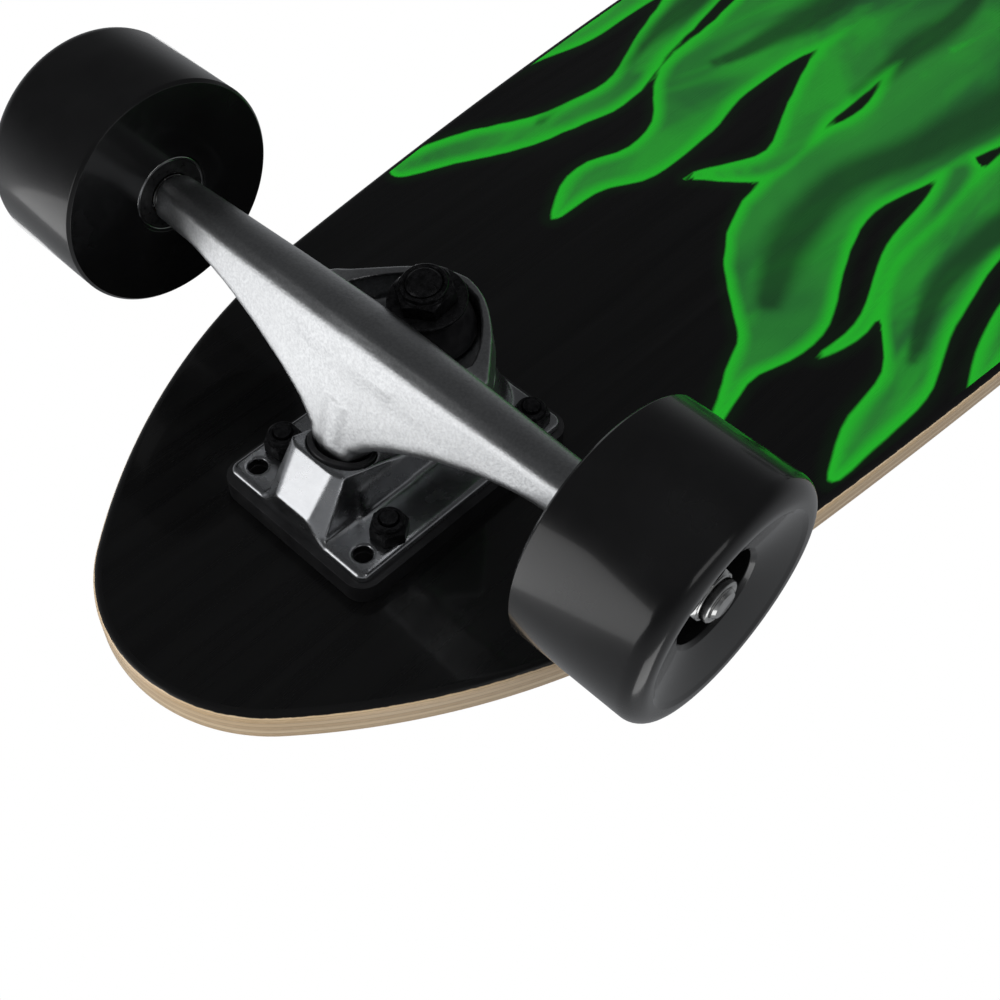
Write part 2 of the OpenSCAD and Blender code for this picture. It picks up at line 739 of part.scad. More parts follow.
wheel(REAR, LEFT);  // rear_left_wheel
bearing_outer_rings(REAR, LEFT);  // rear_left_bearing_outer_rings
bearing_shields(REAR, LEFT);  // rear_left_bearing_shields
balls(REAR, LEFT);  // rear_left_balls
ball_cages(REAR, LEFT);  // rear_left_ball_cages
wheel(REAR, RIGHT);  // rear_right_wheel
bearing_outer_rings(REAR, RIGHT);  // rear_right_bearing_outer_rings
bearing_shields(REAR, RIGHT);  // rear_right_bearing_shields
balls(REAR, RIGHT);  // rear_right_balls
ball_cages(REAR, RIGHT);  // rear_right_ball_cages
wheel(FRONT, LEFT);  // front_left_wheel
bearing_outer_rings(FRONT, LEFT);  // front_left_bearing_outer_rings
bearing_shields(FRONT, LEFT);  // front_left_bearing_shields
balls(FRONT, LEFT);  // front_left_balls
ball_cages(FRONT, LEFT);  // front_left_ball_cages
wheel(FRONT, RIGHT);  // front_right_wheel
bearing_outer_rings(FRONT, RIGHT);  // front_right_bearing_outer_rings
bearing_shields(FRONT, RIGHT);  // front_right_bearing_shields
balls(FRONT, RIGHT);  // front_right_balls
ball_cages(FRONT, RIGHT);  // front_right_ball_cages
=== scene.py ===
import math
import bmesh
import bpy
import numpy as np
from mathutils import Matrix, Vector


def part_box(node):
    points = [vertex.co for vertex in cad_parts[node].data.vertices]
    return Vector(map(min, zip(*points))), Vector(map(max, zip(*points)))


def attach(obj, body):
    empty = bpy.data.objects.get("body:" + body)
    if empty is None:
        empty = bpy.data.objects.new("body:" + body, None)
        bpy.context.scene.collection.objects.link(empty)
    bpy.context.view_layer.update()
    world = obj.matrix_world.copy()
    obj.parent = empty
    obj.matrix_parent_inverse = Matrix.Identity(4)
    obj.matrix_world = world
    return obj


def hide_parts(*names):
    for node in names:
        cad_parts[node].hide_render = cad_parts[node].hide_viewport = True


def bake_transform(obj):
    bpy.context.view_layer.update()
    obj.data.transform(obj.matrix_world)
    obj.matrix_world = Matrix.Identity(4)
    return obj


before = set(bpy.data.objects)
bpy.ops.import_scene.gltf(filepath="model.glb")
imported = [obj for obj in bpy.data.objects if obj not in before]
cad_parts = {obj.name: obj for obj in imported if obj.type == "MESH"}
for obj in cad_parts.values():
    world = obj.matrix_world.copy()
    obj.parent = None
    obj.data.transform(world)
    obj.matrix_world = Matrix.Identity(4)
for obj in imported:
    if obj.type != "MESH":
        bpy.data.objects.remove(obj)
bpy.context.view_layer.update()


MM = 0.001
ENDS = ("rear", "front")
SIDES = ("left", "right")

# -------- places, read from the frame (mm)

def span(node):
    low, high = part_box(node)
    return np.array(low) / MM, np.array(high) / MM


deck_lo, deck_hi = span("deck")
grip_top = span("grip_tape")[1][2]
axle_lo, axle_hi = span("rear_axle")
DECK_L = deck_hi[0] - deck_lo[0]
DECK_W = deck_hi[1] - deck_lo[1]
AXLE_X = abs(axle_lo[0] + axle_hi[0]) / 2
AXLE_Z = (axle_lo[2] + axle_hi[2]) / 2
AXLE_END = axle_hi[1]

# Places in the truck's own frame: origin under the deck between the outermost holes, x towards the
# middle of the board, z away from the deck.
TRUCK_INSET = 60.0
ROW_X = DECK_L / 2 - TRUCK_INSET
FLANGE = 9.5
PLATE_T = 3.15
AXLE = np.array([ROW_X - AXLE_X, 0.0, deck_lo[2] - AXLE_Z])
MOUTH = np.array([12.9, 0.0, FLANGE + 14.9])
KING = np.array([52.5, 0.0, FLANGE])
KING_LEAN = math.radians(10)
HANGER_HALF = 76.0
HOLE_ROWS = (9.525, 63.5)
HOLE_Y = 20.6375
BALL_R = 6.0
KINGPIN_R = 4.76
KINGPIN_HEX = 14.3
AXLE_R = 4.0
BORE_R = 4.9
WHEEL_R = 32.5
nose_dir = (AXLE - MOUTH) / np.linalg.norm(AXLE - MOUTH)
NOSE = MOUTH - 4.5 * nose_dir


def truck_matrix(end):
    if end == "rear":
        return Matrix(((1, 0, 0, -ROW_X), (0, -1, 0, 0), (0, 0, -1, deck_lo[2]), (0, 0, 0, 1)))
    return Matrix(((-1, 0, 0, ROW_X), (0, 1, 0, 0), (0, 0, -1, deck_lo[2]), (0, 0, 0, 1)))


def wheel_matrix(end, side):
    x = -AXLE_X if end == "rear" else AXLE_X
    if side == "left":
        return Matrix(((1, 0, 0, x), (0, 0, 1, HANGER_HALF), (0, -1, 0, AXLE_Z), (0, 0, 0, 1)))
    return Matrix(((1, 0, 0, x), (0, 0, -1, -HANGER_HALF), (0, 1, 0, AXLE_Z), (0, 0, 0, 1)))


def king_matrix(end):
    c, s = math.cos(KING_LEAN), math.sin(KING_LEAN)
    local = Matrix(((c, 0, -s, KING[0]), (0, 1, 0, 0), (s, 0, c, KING[2]), (0, 0, 0, 1)))
    return truck_matrix(end) @ local


def nose_matrix(end):
    c, s = nose_dir[2], nose_dir[0]
    local = Matrix(((c, 0, s, NOSE[0]), (0, 1, 0, 0), (-s, 0, c, NOSE[2]), (0, 0, 0, 1)))
    return truck_matrix(end) @ local


# -------- mesh helpers

def added(name, data):
    obj = bpy.data.objects.new(name, data)
    bpy.context.scene.collection.objects.link(obj)
    return obj


def link(mesh, name, body, slot_name, material, nodes=()):
    obj = added(name, mesh)
    for m in (material if isinstance(material, (list, tuple)) else (material,)):
        obj.data.materials.append(m)
    if isinstance(body, str):
        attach(obj, body)
    else:
        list(body)
        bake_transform(obj)
    if nodes:
        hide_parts(*nodes)
    return obj


def moved(points, matrix):
    m = np.array(matrix)
    return np.asarray(points, float) @ m[:3, :3].T + m[:3, 3]


def smooth_shade(bm, sharp):
    """Faces turned outwards and shaded smooth; edges bent by more than `sharp` degrees stay hard."""
    bmesh.ops.recalc_face_normals(bm, faces=bm.faces)
    for f in bm.faces:
        f.smooth = True
    for e in bm.edges:
        e.smooth = len(e.link_faces) == 2 and e.calc_face_angle(0.0) < math.radians(sharp)


def finish_mesh(name, verts, faces, matrix=None, sharp=32):
    mesh = bpy.data.meshes.new(name)
    co = np.asarray(verts, float).reshape(-1, 3)
    if matrix is not None:
        co = moved(co, matrix)
    mesh.from_pydata((co * MM).tolist(), [], [tuple(f) for f in faces])
    bm = bmesh.new()
    bm.from_mesh(mesh)
    smooth_shade(bm, sharp)
    bm.to_mesh(mesh)
    bm.free()
    return mesh


def rounded(points, radii, steps=5):
    """A closed profile of (radius, height) points with each corner rounded by its own radius."""
    out = []
    n = len(points)
    for i in range(n):
        p = np.array(points[i], float)
        r = radii[i] if isinstance(radii, (list, tuple)) else radii
        if r <= 0:
            out.append(p)
            continue
        a = np.array(points[i - 1], float) - p
        b = np.array(points[(i + 1) % n], float) - p
        la, lb = np.linalg.norm(a), np.linalg.norm(b)
        a, b = a / la, b / lb
        ang = math.acos(np.clip(a @ b, -1, 1))
        if ang > math.pi - 0.05:
            out.append(p)
            continue
        cut = min(r / math.tan(ang / 2), 0.49 * la, 0.49 * lb)
        rr = cut * math.tan(ang / 2)
        mid = (a + b) / np.linalg.norm(a + b)
        c = p + mid * (rr / math.sin(ang / 2))
        s, e = p + a * cut - c, p + b * cut - c
        sweep = math.acos(np.clip((s @ e) / (rr * rr), -1, 1))
        for k in range(steps + 1):
            t = k / steps
            w = (math.sin((1 - t) * sweep) * s + math.sin(t * sweep) * e) / max(math.sin(sweep), 1e-9)
            out.append(c + w)
    return out


def lathe(profile, n=128):
    """Turns a closed profile of (radius, height) round the z axis."""
    verts, faces = [], []
    k = len(profile)
    ang = np.arange(n) * 2 * math.pi / n
    for r, z in profile:
        verts += [(r * c, r * s, z) for c, s in zip(np.cos(ang), np.sin(ang))]
    for i in range(k):
        j = (i + 1) % k
        if profile[i][0] < 1e-6 and profile[j][0] < 1e-6:
            continue
        for a in range(n):
            b = (a + 1) % n
            faces.append((i * n + a, i * n + b, j * n + b, j * n + a))
    return verts, faces


def hex_radius(af, n):
    ang = (np.arange(n) * 2 * math.pi / n) % (math.pi / 3) - math.pi / 6
    return af / 2 / np.cos(ang)


def ringed(rings):
    """A skin through rings given as (radii, heights), each an array over the same angles."""
    n = len(rings[0][0])
    ang = np.arange(n) * 2 * math.pi / n
    verts, faces = [], []
    for r, z in rings:
        z = np.broadcast_to(z, (n,))
        verts += list(zip(r * np.cos(ang), r * np.sin(ang), z))
    k = len(rings)
    for i in range(k):
        j = (i + 1) % k
        for a in range(n):
            b = (a + 1) % n
            faces.append((i * n + a, i * n + b, j * n + b, j * n + a))
    return verts, faces


def nut_rings(af, hex_h, collar_h, bore, z0=0.0, n=96):
    """A hexagon nut, its corners cut by a cone, under a round locking collar."""
    R = hex_radius(af, n)
    rc = af / 2 * 0.985
    slope = math.tan(math.radians(30))
    one = np.ones(n)
    cone = np.maximum(0, R - rc) * slope
    top = z0 + hex_h
    collar_share = 0.88
    cr = af * collar_share / 2
    e = min(0.35, collar_h * 0.3)
    rings = [(bore * one, z0 * one)]
    rings += [(rc * one, z0 * one), (R, z0 + cone)]
    rings += [(R - 0.05, top - cone - 0.12), (R - 0.2, top - cone), (rc * one, top * one)]
    rings += [((cr + 0.25) * one, top * one), (cr * one, (top + 0.2) * one)]
    h = top + collar_h
    rings += [(cr * one, (h - e * 1.6) * one), ((cr - e * 0.35) * one, (h - e * 0.6) * one),
              ((cr - e * 1.2) * one, h * one), ((bore + 0.55) * one, h * one),
              ((bore + 0.1) * one, (h - 0.4) * one), (bore * one, (h - 0.9) * one)]
    return rings


def smin(a, b, k):
    h = np.clip(0.5 + 0.5 * (b - a) / k, 0, 1)
    return b + (a - b) * h - k * h * (1 - h)


def smax(a, b, k):
    return -smin(-a, -b, k)


def pairs(axis):
    """Slices that set each sample beside the next one along an axis."""
    a, b = [slice(None)] * 3, [slice(None)] * 3
    a[axis], b[axis] = slice(0, -1), slice(1, None)
    return tuple(a), tuple(b)


def surface_net(field, low, step):
    """Quads of the zero level of a field sampled on a grid, with vertices placed where it crosses."""
    nx, ny, nz = field.shape
    inside = field < 0
    total = np.zeros((nx - 1, ny - 1, nz - 1, 3))
    count = np.zeros((nx - 1, ny - 1, nz - 1))
    for axis in range(3):
        a, b = pairs(axis)
        fa, fb = field[a], field[b]
        cross = (fa < 0) != (fb < 0)
        t = np.where(cross, fa / np.where(cross, fa - fb, 1), 0)
        o1, o2 = [i for i in range(3) if i != axis]
        for s1 in (0, 1):
            for s2 in (0, 1):
                pick = [slice(None)] * 3
                pick[o1] = slice(s1, cross.shape[o1] - 1 + s1)
                pick[o2] = slice(s2, cross.shape[o2] - 1 + s2)
                c, tt = cross[tuple(pick)], t[tuple(pick)]
                count += c
                total[..., axis] += np.where(c, tt, 0)
                total[..., o1] += np.where(c, s1, 0)
                total[..., o2] += np.where(c, s2, 0)
    used = count > 0
    index = -np.ones(used.shape, int)
    index[used] = np.arange(used.sum())
    cells = np.argwhere(used)
    verts = (cells + total[used] / count[used][:, None]) * step + np.array(low)
    faces = []
    for axis in range(3):
        a, b = pairs(axis)
        cross = inside[a] != inside[b]
        o1, o2 = [(1, 2), (2, 0), (0, 1)][axis]
        where = np.argwhere(cross)
        keep = (where[:, o1] > 0) & (where[:, o2] > 0)
        keep &= (where[:, o1] < used.shape[o1]) & (where[:, o2] < used.shape[o2])
        where = where[keep]
        flip = inside[a][tuple(where.T)]
        d1, d2 = np.eye(3, dtype=int)[o1], np.eye(3, dtype=int)[o2]
        q = np.stack([index[tuple((where - d1 - d2).T)], index[tuple((where - d2).T)],
                      index[tuple(where.T)], index[tuple((where - d1).T)]], 1)
        q[~flip] = q[~flip][:, ::-1]
        faces.append(q)
    return verts, np.concatenate(faces)


def grid(low, high, step):
    axes = [np.arange(a, b + step, step) for a, b in zip(low, high)]
    X, Y, Z = np.meshgrid(*axes, indexing="ij")
    return X, Y, Z


def net_mesh(name, field, low, step, matrix):
    verts, faces = surface_net(field, low, step)
    a, b, c = (verts[faces[:, i]] for i in range(3))
    if np.einsum("ij,ij->i", a, np.cross(b, c)).sum() < 0:
        faces = faces[:, ::-1]
    co = moved(verts, matrix)
    mesh = bpy.data.meshes.new(name)
    mesh.vertices.add(len(co))
    mesh.vertices.foreach_set("co", (co * MM).ravel())
    mesh.loops.add(faces.size)
    mesh.loops.foreach_set("vertex_index", faces.ravel())
    mesh.polygons.add(len(faces))
    mesh.polygons.foreach_set("loop_start", np.arange(0, faces.size, 4))
    mesh.update(calc_edges=True)
    mesh.polygons.foreach_set("use_smooth", np.ones(len(faces), bool))
    return mesh


# -------- material helpers

class Graph:
    def __init__(self, name):
        self.material = bpy.data.materials.new(name)
        self.material.use_nodes = True
        self.tree = self.material.node_tree
        self.tree.nodes.clear()
        self.out = self.tree.nodes.new("ShaderNodeOutputMaterial")
        self.bsdf = self.tree.nodes.new("ShaderNodeBsdfPrincipled")
        self.wire(self.bsdf.outputs[0], self.out.inputs[0])
        self.coords = self.node("ShaderNodeTexCoord").outputs["Object"]

    def node(self, kind, **settings):
        n = self.tree.nodes.new(kind)
        for k, v in settings.items():
            setattr(n, k, v)
        return n

    def wire(self, a, b):
        self.tree.links.new(a, b)

    def set(self, **values):
        for k, v in values.items():
            socket = self.bsdf.inputs[k.replace("_", " ")]
            socket.default_value = (*v, 1) if isinstance(v, tuple) and len(v) == 3 else v

    def put(self, socket, value):
        if hasattr(value, "is_linked") or hasattr(value, "links"):
            self.wire(value, socket)
        else:
            socket.default_value = (*value, 1) if isinstance(value, tuple) and len(value) == 3 else value

    def scaled(self, sx, sy, sz):
        m = self.node("ShaderNodeMapping")
        m.inputs["Scale"].default_value = (sx, sy, sz)
        self.wire(self.coords, m.inputs["Vector"])
        return m.outputs[0]

    def noise(self, scale, detail=3.0, rough=0.5, coords=None, distortion=0.0):
        n = self.node("ShaderNodeTexNoise")
        n.inputs["Scale"].default_value = scale
        n.inputs["Detail"].default_value = detail
        n.inputs["Roughness"].default_value = rough
        n.inputs["Distortion"].default_value = distortion
        self.wire(coords or self.coords, n.inputs["Vector"])
        return n.outputs[0]

    def voronoi(self, scale, output="Distance"):
        n = self.node("ShaderNodeTexVoronoi")
        n.inputs["Scale"].default_value = scale
        self.wire(self.coords, n.inputs["Vector"])
        return n.outputs[output]

    def math(self, op, a, b=0.0):
        n = self.node("ShaderNodeMath", operation=op)
        self.put(n.inputs[0], a)
        self.put(n.inputs[1], b)
        return n.outputs[0]

    def remap(self, value, a, b, c, d, smooth=False):
        n = self.node("ShaderNodeMapRange")
        if smooth:
            n.interpolation_type = "SMOOTHSTEP"
        self.put(n.inputs[0], value)
        for i, v in enumerate((a, b, c, d)):
            n.inputs[i + 1].default_value = v
        return n.outputs[0]

    def ramp(self, value, stops):
        n = self.node("ShaderNodeValToRGB")
        els = n.color_ramp.elements
        while len(els) < len(stops):
            els.new(0.5)
        for e, (p, c) in zip(els, stops):
            e.position = p
            e.color = (*c, 1)
        self.put(n.inputs[0], value)
        return n.outputs[0]

    def mix(self, fac, a, b):
        n = self.node("ShaderNodeMix", data_type="RGBA")
        self.put(n.inputs[0], fac)
        self.put(n.inputs[6], a)
        self.put(n.inputs[7], b)
        return n.outputs[2]

    def bump(self, height, strength, distance, normal=None):
        n = self.node("ShaderNodeBump")
        n.inputs["Strength"].default_value = strength
        n.inputs["Distance"].default_value = distance
        self.wire(height, n.inputs["Height"])
        if normal is not None:
            self.wire(normal, n.inputs["Normal"])
        return n.outputs[0]

    def colour(self, value):
        self.put(self.bsdf.inputs["Base Color"], value)

    def rough(self, value):
        self.put(self.bsdf.inputs["Roughness"], value)

    def normal(self, value):
        self.wire(value, self.bsdf.inputs["Normal"])


def cast_aluminium():
    g = Graph("cast_aluminium")
    g.set(Metallic=1.0)
    mottle = g.noise(55, 4, 0.6)
    grain = g.noise(1300, 3, 0.6)
    flecks = g.voronoi(1500, output="Color")
    fleck = g.remap(flecks, 0.55, 0.95, 0, 1)
    base = g.ramp(mottle, [(0.3, (0.60, 0.61, 0.62)), (0.7, (0.76, 0.77, 0.78))])
    base = g.mix(g.remap(grain, 0.38, 0.62, 0.0, 0.6), base, (0.90, 0.91, 0.92))
    g.colour(base)
    g.rough(g.math("ADD", g.remap(mottle, 0.3, 0.7, 0.27, 0.36), g.remap(fleck, 0, 1, 0.03, -0.01)))
    n = g.bump(grain, 0.35, 0.00014)
    n = g.bump(g.noise(170, 3, 0.55), 0.12, 0.0006, n)
    g.normal(n)
    return g.material


def die_cast():
    g = Graph("die_cast_aluminium")
    g.set(Metallic=1.0)
    mottle = g.noise(90, 4, 0.6)
    grain = g.noise(2300, 2, 0.6)
    g.colour(g.ramp(mottle, [(0.3, (0.68, 0.69, 0.71)), (0.7, (0.86, 0.87, 0.89))]))
    g.rough(g.remap(mottle, 0.3, 0.7, 0.20, 0.32))
    n = g.bump(grain, 0.10, 0.0001)
    n = g.bump(g.noise(300, 3, 0.5), 0.14, 0.0004, n)
    g.normal(n)
    return g.material


def black_steel():
    g = Graph("black_steel")
    g.set(Metallic=0.85)
    worn = g.noise(700, 4, 0.65)
    g.colour(g.ramp(worn, [(0.35, (0.012, 0.012, 0.013)), (0.75, (0.045, 0.045, 0.048))]))
    g.rough(g.remap(g.noise(320, 3, 0.5), 0.3, 0.7, 0.20, 0.38))
    g.normal(g.bump(g.noise(2600, 2, 0.5), 0.12, 0.0001))
    return g.material


def plated_steel(name="plated_steel", tint=(0.70, 0.70, 0.69), low=0.14, high=0.27):
    g = Graph(name)
    g.set(Metallic=1.0)
    cloud = g.noise(420, 4, 0.6)
    g.colour(g.mix(g.remap(cloud, 0.35, 0.7, 0, 1), tuple(0.8 * c for c in tint), tint))
    g.rough(g.remap(cloud, 0.3, 0.7, low, high))
    scratches = g.noise(900, 2, 0.5, coords=g.scaled(1, 0.06, 1))
    n = g.bump(scratches, 0.08, 0.0001)
    g.normal(n)
    return g.material


def urethane():
    g = Graph("wheel_urethane")
    g.set(Coat_Weight=0.6, Coat_Roughness=0.09, IOR=1.5)
    cloud = g.noise(38, 4, 0.6)
    dust = g.voronoi(1400)
    speck = g.remap(dust, 0.0, 0.09, 1, 0)
    speck = g.math("MULTIPLY", speck, g.remap(g.noise(60, 2), 0.55, 0.75, 0, 0.5))
    base = g.ramp(cloud, [(0.3, (0.0040, 0.0040, 0.0042)), (0.7, (0.0070, 0.0070, 0.0073))])
    g.colour(g.mix(speck, base, (0.05, 0.05, 0.05)))
    g.rough(g.remap(cloud, 0.3, 0.7, 0.2, 0.3))
    n = g.bump(g.noise(900, 3, 0.6), 0.03, 0.0003)
    g.normal(n)
    return g.material


def moulded(name, cloud, stops, rough, skin, bump, **settings):
    """Rubber or plastic: one cloud for colour and gloss, over a finely bumped skin."""
    g = Graph(name)
    g.set(**settings)
    shade = g.noise(*cloud)
    g.colour(g.ramp(shade, stops))
    g.rough(g.remap(shade, 0.3, 0.7, *rough))
    g.normal(g.bump(g.noise(*skin), *bump))
    return g.material


def grip():
    g = Graph("grip")
    grit = g.voronoi(1100)
    fine = g.noise(2300, 2, 0.7)
    speck = g.remap(g.voronoi(1100, output="Color"), 0.82, 1.0, 0, 1)
    patches = g.noise(9, 3, 0.6)
    base = g.ramp(patches, [(0.3, (0.010, 0.010, 0.011)), (0.7, (0.018, 0.018, 0.019))])
    g.colour(g.mix(g.math("MULTIPLY", speck, 0.5), base, (0.09, 0.09, 0.095)))
    g.rough(g.remap(fine, 0.3, 0.7, 0.62, 0.92))
    n = g.bump(grit, 0.75, 0.0006)
    n = g.bump(fine, 0.4, 0.0003, n)
    g.normal(n)
    return g.material


def maple_edge():
    """Seven veneers seen from their edges, the cross plies showing end grain."""
    g = Graph("deck_wood")
    g.set(Coat_Weight=0.35, Coat_Roughness=0.22)
    split = g.node("ShaderNodeSeparateXYZ")
    g.wire(g.coords, split.inputs[0])
    level = g.remap(split.outputs[2], deck_lo[2] * MM, deck_hi[2] * MM, 0, 7)
    wobble = g.remap(g.noise(60, 2, 0.5), 0, 1, -0.06, 0.06)
    level = g.math("ADD", level, wobble)
    within = g.math("FRACT", level)
    ply = g.math("FLOOR", level)
    tone = g.node("ShaderNodeTexWhiteNoise", noise_dimensions="1D")
    g.wire(g.math("ADD", ply, 3.7), tone.inputs["W"])
    along = g.noise(260, 5, 0.65, coords=g.scaled(0.06, 0.06, 5.0))
    pores = g.noise(1800, 3, 0.7, coords=g.scaled(0.25, 0.25, 1.6))
    light = g.ramp(along, [(0.25, (0.72, 0.50, 0.28)), (0.5, (0.88, 0.68, 0.44)), (0.8, (0.95, 0.80, 0.58))])
    cross = g.ramp(pores, [(0.3, (0.52, 0.33, 0.16)), (0.7, (0.80, 0.58, 0.34))])
    even = g.math("MODULO", ply, 2.0)
    wood = g.mix(g.math("MULTIPLY", even, 0.6), light, cross)
    wood = g.mix(g.remap(tone.outputs["Value"], 0, 1, 0.0, 0.28), wood, (0.60, 0.38, 0.19))
    edge = g.math("ABSOLUTE", g.math("SUBTRACT", within, 0.5))
    glue = g.remap(edge, 0.44, 0.5, 0, 0.55, smooth=True)
    wood = g.mix(glue, wood, (0.20, 0.11, 0.05))
    bleed = g.math("ADD", split.outputs[2], g.remap(g.noise(260, 3, 0.6), 0.25, 0.75, -0.00012, 0.00012))
    bleed = g.remap(bleed, (deck_lo[2] + 0.95) * MM, (deck_lo[2] + 1.1) * MM, 1, 0)
    g.colour(g.mix(bleed, wood, (0.004, 0.004, 0.0042)))
    g.rough(g.remap(along, 0.2, 0.8, 0.34, 0.5))
    n = g.bump(along, 0.12, 0.0004)
    n = g.bump(pores, 0.1, 0.0002, n)
    g.normal(n)
    return g.material


def lacquer():
    """Black lacquer over the wood grain, with airbrushed flames under the clear coat."""
    g = Graph("deck_lacquer")
    g.set(Coat_Weight=0.6, Coat_Roughness=0.08, Specular_IOR_Level=0.45)
    dist = g.node("ShaderNodeAttribute", attribute_name="flame_in").outputs["Fac"]
    flow = g.node("ShaderNodeAttribute", attribute_name="flame_flow").outputs["Fac"]
    fade = g.node("ShaderNodeAttribute", attribute_name="flame_fade").outputs["Fac"]
    wisps = g.noise(30, 3, 0.55, coords=g.scaled(0.35, 1.0, 1.0), distortion=1.0)
    smoke = g.noise(16, 3, 0.55, coords=g.scaled(0.5, 1.0, 1.0), distortion=0.8)
    inside = g.remap(dist, -0.5, 0.7, 0, 1, smooth=True)
    rim = g.remap(dist, 0.6, 5.5, 1, 0, smooth=True)
    body = g.mix(g.remap(smoke, 0.32, 0.68, 0, 1, smooth=True), (0.020, 0.135, 0.034), (0.030, 0.30, 0.040))
    body = g.mix(g.math("MULTIPLY", g.remap(wisps, 0.45, 0.7, 0.0, 1.0, smooth=True), 0.7), body,
                 (0.026, 0.44, 0.034))
    paint = g.mix(rim, body, (0.020, 0.56, 0.028))
    shade = g.math("MULTIPLY", g.remap(flow, 0.05, 0.8, 0.0, 0.8, smooth=True), g.remap(rim, 0, 1, 1, 0.25))
    paint = g.mix(shade, paint, (0.010, 0.045, 0.016))
    grain = g.noise(190, 5, 0.6, coords=g.scaled(0.05, 1.0, 1.0), distortion=0.4)
    black = g.ramp(grain, [(0.3, (0.0022, 0.0022, 0.0023)), (0.75, (0.0042, 0.0042, 0.0043))])
    halo = g.remap(dist, -5.0, 0.0, 0.0, 0.22, smooth=True)
    black = g.mix(g.math("MULTIPLY", halo, fade), black, (0.004, 0.035, 0.006))
    g.colour(g.mix(g.math("MULTIPLY", inside, fade), black, paint))
    g.rough(g.remap(grain, 0.3, 0.75, 0.22, 0.36))
    n = g.bump(grain, 0.10, 0.0006)
    n = g.bump(g.noise(1400, 2, 0.5), 0.04, 0.0001, n)
    g.normal(n)
    return g.material


def floor_paint():
    """A pale floor with a little glow of its own, seen from above only."""
    glow = 0.42
    g = Graph("studio_floor")
    cloud = g.noise(3, 3, 0.5)
    g.set(Emission_Strength=glow, Emission_Color=(1, 1, 1))
    g.colour(g.ramp(cloud, [(0.3, (0.50, 0.50, 0.50)), (0.7, (0.54, 0.54, 0.54))]))
    g.rough(0.75)
    through = g.node("ShaderNodeBsdfTransparent")
    pick = g.node("ShaderNodeMixShader")
    g.wire(g.node("ShaderNodeNewGeometry").outputs["Backfacing"], pick.inputs[0])
    g.wire(g.bsdf.outputs[0], pick.inputs[1])
    g.wire(through.outputs[0], pick.inputs[2])
    g.wire(pick.outputs[0], g.out.inputs[0])
    return g.material


M_CAST = cast_aluminium()
M_DIE = die_cast()
M_BLACK = black_steel()
M_PLATED = plated_steel()
M_RING = plated_steel("bearing_steel", (0.80, 0.80, 0.80), 0.08, 0.16)
M_URETHANE = urethane()
M_BUSHING = moulded("cup_urethane", (300, 3, 0.6),
                    [(0.3, (0.008, 0.008, 0.009)), (0.7, (0.018, 0.018, 0.019))],
                    (0.28, 0.42), (1500, 2, 0.5), (0.08, 0.0002), Coat_Weight=0.15, Coat_Roughness=0.2)
M_RUBBER = moulded("riser_rubber", (130, 4, 0.6),
                   [(0.3, (0.007, 0.007, 0.0075)), (0.75, (0.016, 0.016, 0.017))],
                   (0.36, 0.5), (1300, 3, 0.6), (0.14, 0.0003))
M_SEAL = moulded("seal", (900, 3, 0.6), [(0.3, (0.008, 0.008, 0.008)), (0.7, (0.02, 0.02, 0.021))],
                 (0.25, 0.42), (2600, 2, 0.5), (0.07, 0.0001))
M_NYLON = moulded("cage_nylon", (1500, 2, 0.5), [(0.3, (0.55, 0.40, 0.16)), (0.7, (0.66, 0.50, 0.22))],
                  (0.35, 0.5), (2500, 2, 0.5), (0.08, 0.0001), Subsurface_Weight=0.05)
M_GRIP = grip()
M_WOOD = maple_edge()
M_LACQUER = lacquer()

# -------- deck

TIP_R, SHOULDER_R, SIDE_R = 50.0, 213.0, 2540.0


def outline(steps=(40, 60, 60)):
    """A quarter of the deck's outline from the tip to the middle: points and outward normals."""
    c1 = np.array([DECK_L / 2 - TIP_R, 0.0])
    c3 = np.array([0.0, DECK_W / 2 - SIDE_R])
    apart = np.linalg.norm(c1 - c3)
    r1, r3 = SHOULDER_R - TIP_R, SIDE_R - SHOULDER_R
    along = (r3 ** 2 - r1 ** 2 + apart ** 2) / (2 * apart)
    aside = math.sqrt(r3 ** 2 - along ** 2)
    d = (c1 - c3) / apart
    c2 = c3 + along * d + aside * np.array([-d[1], d[0]])
    j1 = (c1 - c2) / np.linalg.norm(c1 - c2)
    j3 = (c2 - c3) / np.linalg.norm(c2 - c3)
    a1, a3 = math.atan2(j1[1], j1[0]), math.atan2(j3[1], j3[0])
    out = []
    for c, r, a, b, n, last in ((c1, TIP_R, 0, a1, steps[0], 0), (c2, SHOULDER_R, a1, a3, steps[1], 0),
                                (c3, SIDE_R, a3, math.pi / 2, steps[2], 1)):
        for i in range(n + last):
            t = a + (b - a) * i / n
            m = np.array([math.cos(t), math.sin(t)])
            out.append((c + r * m, m))
    return out


def upper_half():
    q = outline()
    return q + [(np.array([-p[0], p[1]]), np.array([-m[0], m[1]])) for p, m in reversed(q[:-1])]


def full_loop():
    h = upper_half()
    return h + [(np.array([p[0], -p[1]]), np.array([m[0], -m[1]])) for p, m in reversed(h[1:-1])]


def stretches(P, spine, widths, n):
    """For each stretch of a curve: how far points P are from it, and its width beside them."""
    S, W = spline(np.array(spine, float), np.array(widths, float), n)
    for a, wa, b, wb in zip(S[:-1], W[:-1], S[1:], W[1:]):
        d = b - a
        t = np.clip(((P - a) @ d) / (d @ d), 0, 1)
        yield np.linalg.norm(P - a - t[:, None] * d, axis=1), wa + (wb - wa) * t


